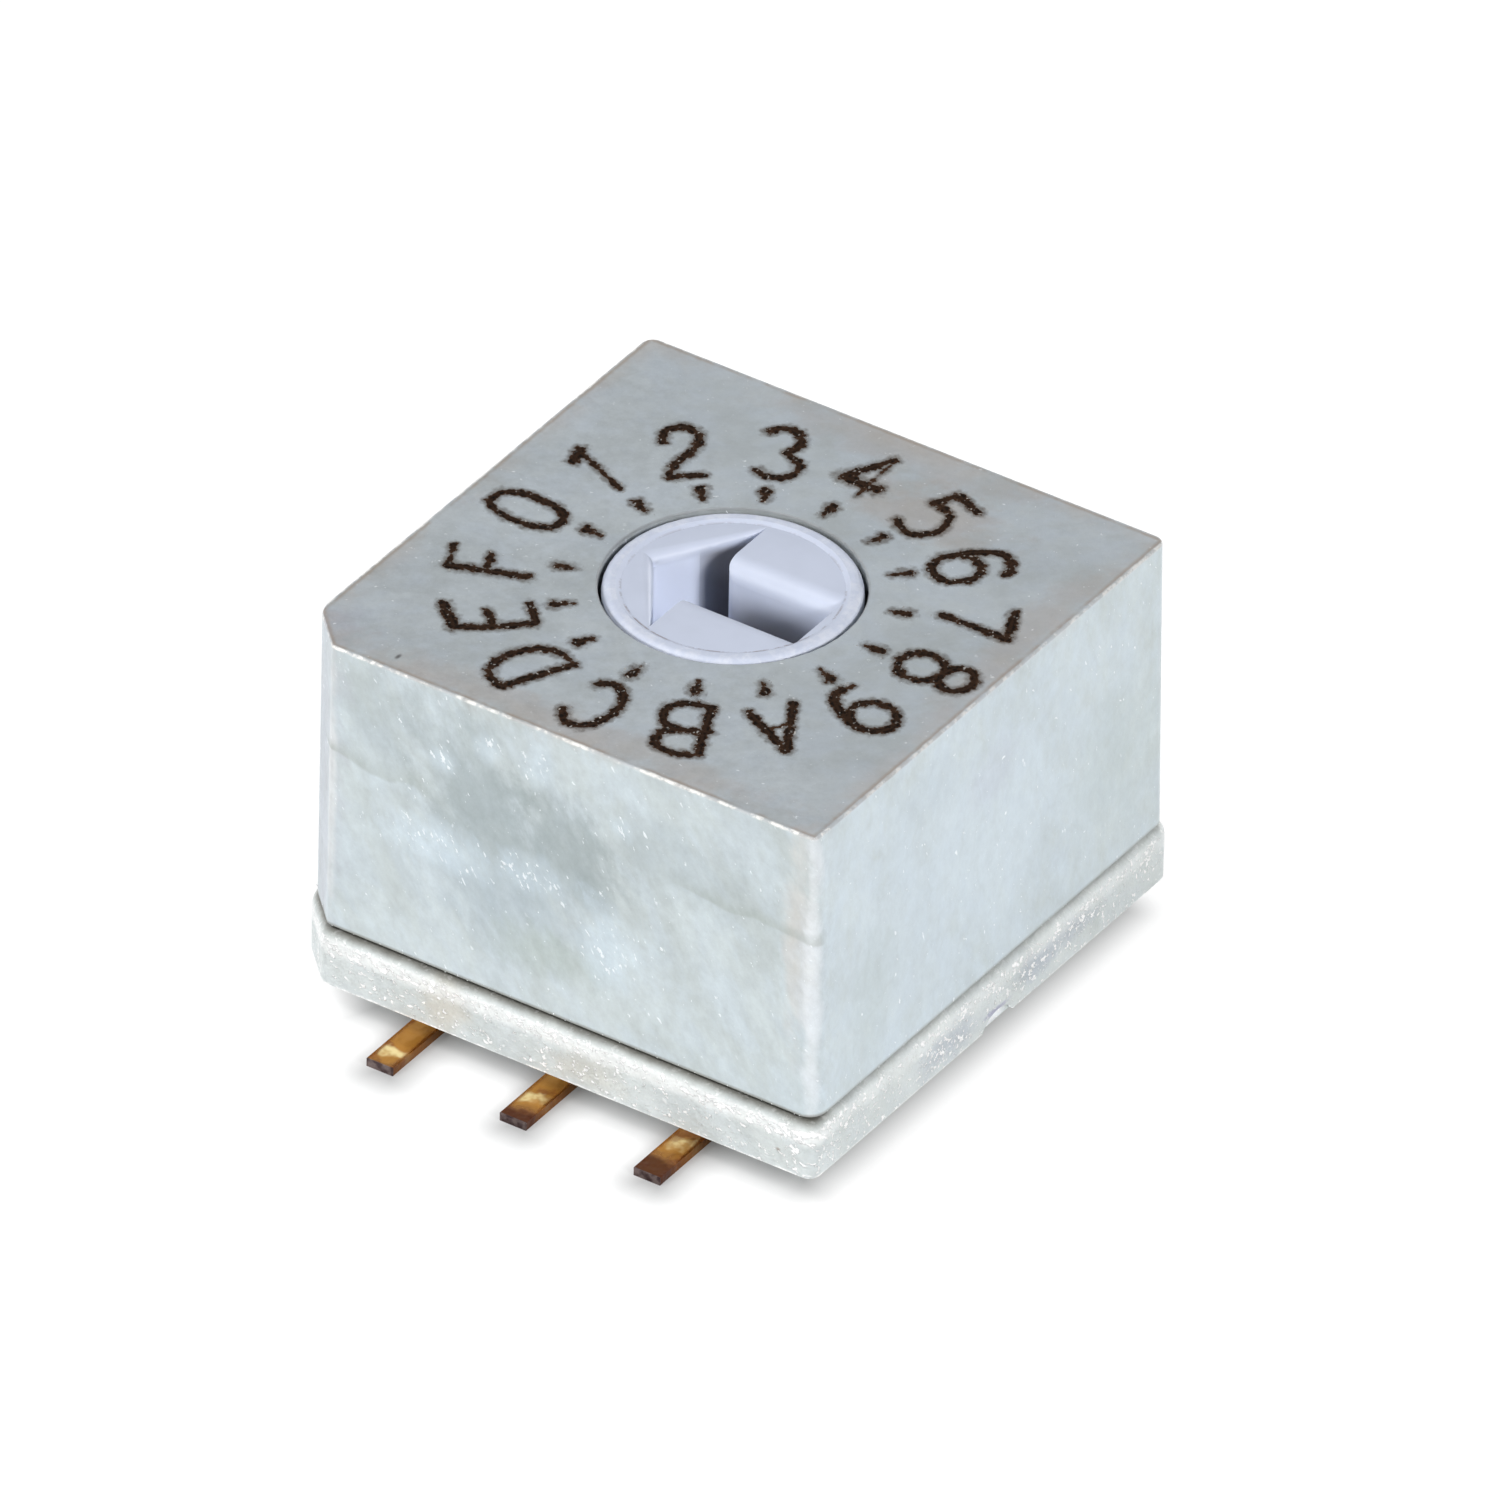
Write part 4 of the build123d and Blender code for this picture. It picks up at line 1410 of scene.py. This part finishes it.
    def _base_finish(self, joint: float) -> MarbledMoulding:
        """Gives the base's finish: brighter, with more flecks, painted shade under the housing, a painted
        highlight on its rounded top edge, and painted shadow and light at the gate mark.

        Args:
            joint: The height of the housing's lower edge.

        Returns:
            The finish.
        """
        beige, bluish, front, side = (0.55, 0.51, 0.43), (0.34, 0.38, 0.46), -5.12, 5.06
        spots = (
            Spot((-1.9, front, 1.0), (0.55, 1.0, 0.6), beige, 0.6),
            Spot((0.8, front, 0.9), (0.8, 1.0, 0.45), beige, 0.45),
            Spot((side, -1.2, 0.85), (1.0, 1.2, 0.35), bluish, 0.5, 0.3),
            Spot((side, 1.6, 1.0), (1.0, 1.5, 0.3), bluish, 0.5, 0.4),
            # Painted shadow under the gate mark's upper rim.
            Spot((side, 0.13, 0.75), (0.3, 0.5, 0.07), (0.30, 0.30, 0.42), 0.85),
            # Painted light inside the gate mark's recess.
            Spot((side - 0.08, 0.13, 0.58), (0.07, 0.4, 0.14), (0.92, 0.94, 0.97), 0.8),
            Spot((4.45, front, 1.17), (0.06, 0.3, 0.04), (0.06, 0.05, 0.05), 0.9),
            Spot((4.4, front, 0.85), (0.05, 0.3, 0.04), (0.25, 0.17, 0.12), 0.7),
        )
        return MarbledMoulding(
            "marbled_base",
            node="base",
            key_cut=self.base_key_cut,
            pale=(0.65, 0.69, 0.685),
            grey=(0.52, 0.56, 0.555),
            cool=(0.61, 0.66, 0.685),
            spots=spots,
            flow=(0.78, 0.55, -0.3),
            fleck=WHITE,
            fleck_share=0.9,
            fleck_spread=0.7,
            fleck_gain=1.0,
            fleck_scale=10.5,
            grain_depth=0.018,
            # the painted edge highlights
            edge_highlight=(0.96, 0.96, 0.95),
            joint=joint - self.joint_drop,
        )

    def _crumbs(self, material: bpy.types.Material, joint: float) -> bpy.types.Object:
        """Scatters crumbs along the housing's lower edge with Geometry Nodes.

        Args:
            material: The crumbs' material.
            joint: The height of the housing's lower edge.

        Returns:
            The crumbs as one piece.
        """
        low, high = node_box("housing")
        inset, key = self.crumb_inset, self.key_cut + self.crumb_clearance
        height = joint + self.crumb_rise
        outline = [(low.x + inset, low.y + key, height), (low.x + key, low.y + inset, height)]
        for x, y, radius, start in (
            (high.x, low.y, self.front_radius, 270),
            (high.x, high.y, self.corner_radius, 0),
            (low.x, high.y, self.corner_radius, 90),
        ):
            middle_x, middle_y = x - math.copysign(radius, x), y - math.copysign(radius, y)
            for turn in range(0, 91, 15):
                angle, reach = math.radians(start + turn), radius - inset
                across, up = reach * math.cos(angle), reach * math.sin(angle)
                outline.append((middle_x + across, middle_y + up, height))
        edges = [(i, (i + 1) % len(outline)) for i in range(len(outline))]
        inputs = {
            "Count": ("Int", self.crumb_count),
            "Size": ("Float", self.crumb_size * MM),
            "Spread": ("Vector", tuple(part * MM for part in self.crumb_spread)),
        }
        g = GeometryTree("edge_crumbs", self.crumb_seed, inputs)
        curve = g.node("GeometryNodeMeshToCurve", {"Mesh": g["Geometry"]})
        points = g.node("GeometryNodeCurveToPoints", {"Curve": curve, "Count": g["Count"]}, mode="COUNT")
        spread = g.random(g["Spread"] * -1.0, g["Spread"], 1.0)
        moved = g.node("GeometryNodeSetPosition", {"Geometry": points, "Offset": spread})
        crumb = g.node("GeometryNodeMeshIcoSphere", {"Radius": g["Size"], "Subdivisions": 1})
        turn = g.random(UNTURNED, self.crumb_turn, 2.0)
        size = g.random(self.crumb_least, self.crumb_most, 3.0)
        inputs = {"Points": moved, "Instance": crumb, "Rotation": turn, "Scale": size}
        placed = g.node("GeometryNodeInstanceOnPoints", inputs)
        return g.apply(mesh_object("edge_crumbs", outline, [], edges), placed, material)


class Mechanism:
    """The rotor, its disc and plate, the spring, the seals, the contacts and the feet."""

    def dress(self) -> None:
        """Gives each remaining CAD node its finish."""
        gold = (0.83, 0.60, 0.23)
        finishes: dict[str, Finish] = {
            "rotor": SatinMoulding("satin_rotor"),
            "joint_seal": PlainMoulding(
                "cured_bead", colour=(0.055, 0.05, 0.035), worn=(0.11, 0.10, 0.075), roughness=0.5
            ),
            "shaft_seal": PlainMoulding(
                "black_rubber", colour=(0.014, 0.014, 0.014), worn=(0.03, 0.03, 0.03), roughness=0.45
            ),
            "code_disc": PlainMoulding(
                "black_disc", colour=(0.035, 0.036, 0.04), worn=(0.06, 0.06, 0.065), roughness=0.42
            ),
            "code_plate": RolledMetal("gold_plate", Shine.METAL, gold, (0.66, 0.43, 0.15), 0.22),
            "detent_spring": RolledMetal("spring_steel", Shine.METAL),
            "contact": RolledMetal("gold_contact", Shine.METAL, gold, (0.70, 0.47, 0.17), 0.2),
            "terminal": TarnishedGold("tarnished_gold", Shine.METAL),
        }
        made = {key: finish.material() for key, finish in finishes.items()}
        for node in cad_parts:
            if node not in ("housing", "base"):
                dress(node, made[node if node in made else node.split("_")[0]])


@dataclass(frozen=True)
class Lamp:
    """A square softbox that looks at the switch. Its size and its distance are in metres."""

    name: str
    direction: Point
    level: float
    size: float = 0.12
    distance: float = 0.5

    def build(self) -> None:
        """Places the lamp, with the power that lights a white face turned to it to its level."""
        data = bpy.data.lights.new(self.name, "AREA")
        data.shape = "SQUARE"
        data.size = self.size
        data.energy = self.level * math.pi**2 * self.distance**2
        lamp = bpy.data.objects.new(self.name, data)
        away = Vector(self.direction).normalized()
        lamp.location = away * self.distance
        lamp.rotation_euler = away.to_track_quat("Z", "Y").to_euler()
        bpy.context.scene.collection.objects.link(lamp)


@dataclass
class Studio:
    """The white table, the soft lamps, the plain surroundings and the camera, which sees 10 metres far."""

    azimuth: float = 33.18
    elevation: float = 35.27
    roll: float = 1.14
    lens: float = 716.0
    sensor: float = 36.0
    sight: float = 10.0
    distance: float = 469.18
    offset: tuple[float, float] = (0.2652, -2.5862)
    surroundings: float = 0.05
    table_half: float = 1500.0
    table_glow: float = 0.9
    foot_pitch: float = 2.54
    shadow_round: float = 0.5
    shadow_shift: tuple[float, float] = (0.1, -0.15)
    base_shade: tuple[float, float, float] = (-0.75, 0.39, 0.1)
    foot_shift: tuple[float, float] = (0.1, -0.16)
    foot_inset: float = 0.1
    foot_shade: tuple[float, float, float] = (-0.3, 0.78, 0.26)
    lamps: tuple[Lamp, ...] = (
        Lamp("right_softbox", (0.845, -0.207, 0.494), 0.715),
        Lamp("front_softbox", (-0.35, -0.85, 0.40), 0.49),
        Lamp("left_softbox", (-0.447, -0.338, 0.828), 0.36),
        Lamp("far_left_softbox", (-0.96, 0.25, 0.08), 0.28),
        Lamp("back_softbox", (0.12, 0.99, 0.08), 0.40),
        Lamp("low_softbox", (-0.15, 0.15, -0.98), 0.6),
    )

    def build(self) -> None:
        """Makes the surroundings, the table, the lamps and the camera."""
        bpy.context.scene.view_settings.view_transform = "Standard"
        self._world()
        self._table()
        for lamp in self.lamps:
            lamp.build()
        bpy.context.scene.camera = self._camera()

    @staticmethod
    def _seen(w: Wiring) -> Wire:
        """Gives 1 for rays from the camera, a gloss or a transmission, which see the plain white."""
        seen = w.node("LightPath", output="Is Camera Ray")
        return w.most(w.most(seen, seen["Is Glossy Ray"]), seen["Is Transmission Ray"])

    def _world(self) -> None:
        """Makes plain pale surroundings, white where they are seen."""
        world = bpy.data.worlds.new("surroundings")
        bpy.context.scene.world = world
        w = Wiring.of(world)
        strength = w.fade(self._seen(w), 0.0, 1.0, self.surroundings, 1.0)
        w.add("OutputWorld", {"Surface": w.node("Background", {"Color": WHITE, "Strength": strength})})

    def _table(self) -> None:
        """Makes the table, plain white but for the switch's painted shadow close to it, and clear from below.
        """
        made = bpy.data.materials.new("white_table")
        w = Wiring.of(made)
        seen = self._seen(w)
        below = w.node("NewGeometry", output="Backfacing")
        hidden = w.most(below, w.node("LightPath", output="Is Shadow Ray"))
        look = {
            "Base Color": w.mix(seen, (0.86, 0.86, 0.86), (0.2, 0.2, 0.2)),
            "Roughness": 0.9,
            "Specular IOR Level": 0.0,
            "Emission Color": WHITE,
            # The table's glow is cut by a painted shadow of the base and the feet, drawn from their
            # footprints.
            "Emission Strength": seen * (self._painted_shadow(w) * self.table_glow),
            "Alpha": 1.0 - hidden,
        }
        w.add("OutputMaterial", {"Surface": w.node("BsdfPrincipled", look)})
        far = self.table_half
        corners = [(-far, -far, 0.0), (far, -far, 0.0), (far, far, 0.0), (-far, far, 0.0)]
        table = mesh_object("table", corners, [(0, 1, 2, 3)])
        table.data.materials.append(made)
        LOG.info("%s: %d faces", table.name, len(table.data.polygons))

    def _painted_shadow(self, w: Wiring) -> Wire:
        """Gives the painted shadow's share of the table's glow, from 1 in the open down to nearly nothing
        under the switch.

        Args:
            w: The table's wiring.

        Returns:
            The share at a point of the table.
        """
        place = w.node("TexCoord", output="Object") * (1 / MM)
        high = node_box("base")[1]
        shift_x, shift_y = self.shadow_shift
        moved = place - (shift_x, shift_y, 0.0)
        half = (high.x - shift_x - self.shadow_round, high.y + shift_y - self.shadow_round, 0.0)
        east, north, _ = w.axes(moved)
        past_key = (east + north + (half[0] + half[1] - Shell.base_key_cut)) * -math.sqrt(0.5)
        base = w.most(BoxDistance.place(w, moved, half), past_key) - self.shadow_round
        foot_low, foot_high = node_box("terminal_common")
        x, y, _ = w.axes(place - (*self.foot_shift, 0.0))
        across = w.least(abs(x), abs(abs(x) - self.foot_pitch))
        half = ((foot_high.x - foot_low.x) / 2 - self.foot_inset, foot_high.y - self.foot_inset, 0.0)
        feet = BoxDistance.place(w, w.point(across, y), half)
        return w.fade(base, *self.base_shade, 1.0) * w.fade(feet, *self.foot_shade, 1.0)

    def _camera(self) -> bpy.types.Object:
        """Places the camera as it stood to the photographed switch.

        Returns:
            The camera.
        """
        angles = (self.azimuth, self.elevation, self.roll)
        azimuth, elevation, roll = (math.radians(angle) for angle in angles)
        flat = math.cos(elevation)
        back = Vector((math.sin(azimuth) * flat, -math.cos(azimuth) * flat, math.sin(elevation)))
        level = Vector((math.cos(azimuth), math.sin(azimuth), 0.0))
        above = back.cross(level)
        right = math.cos(roll) * level + math.sin(roll) * above
        up = math.cos(roll) * above - math.sin(roll) * level
        data = bpy.data.cameras.new("camera")
        data.sensor_width = self.sensor
        data.lens = self.lens
        data.clip_end = self.sight
        camera = bpy.data.objects.new("camera", data)
        bpy.context.scene.collection.objects.link(camera)
        centre = Vector((0.0, 0.0, node_box("housing")[1].z))
        place = centre + self.offset[0] * right + self.offset[1] * up + self.distance * back
        camera.matrix_world = Matrix.Translation(place * MM) @ Matrix((right, up, back)).transposed().to_4x4()
        return camera


def main() -> None:
    """Builds the looks in order, from the studio to the smallest marks."""
    logging.basicConfig(level=logging.INFO, format="%(name)s %(message)s")
    Studio().build()
    Shell().dress()
    Mechanism().dress()
    Dial().build(CharredMark("charred_mark").material())


if __name__ == "__main__":
    main()
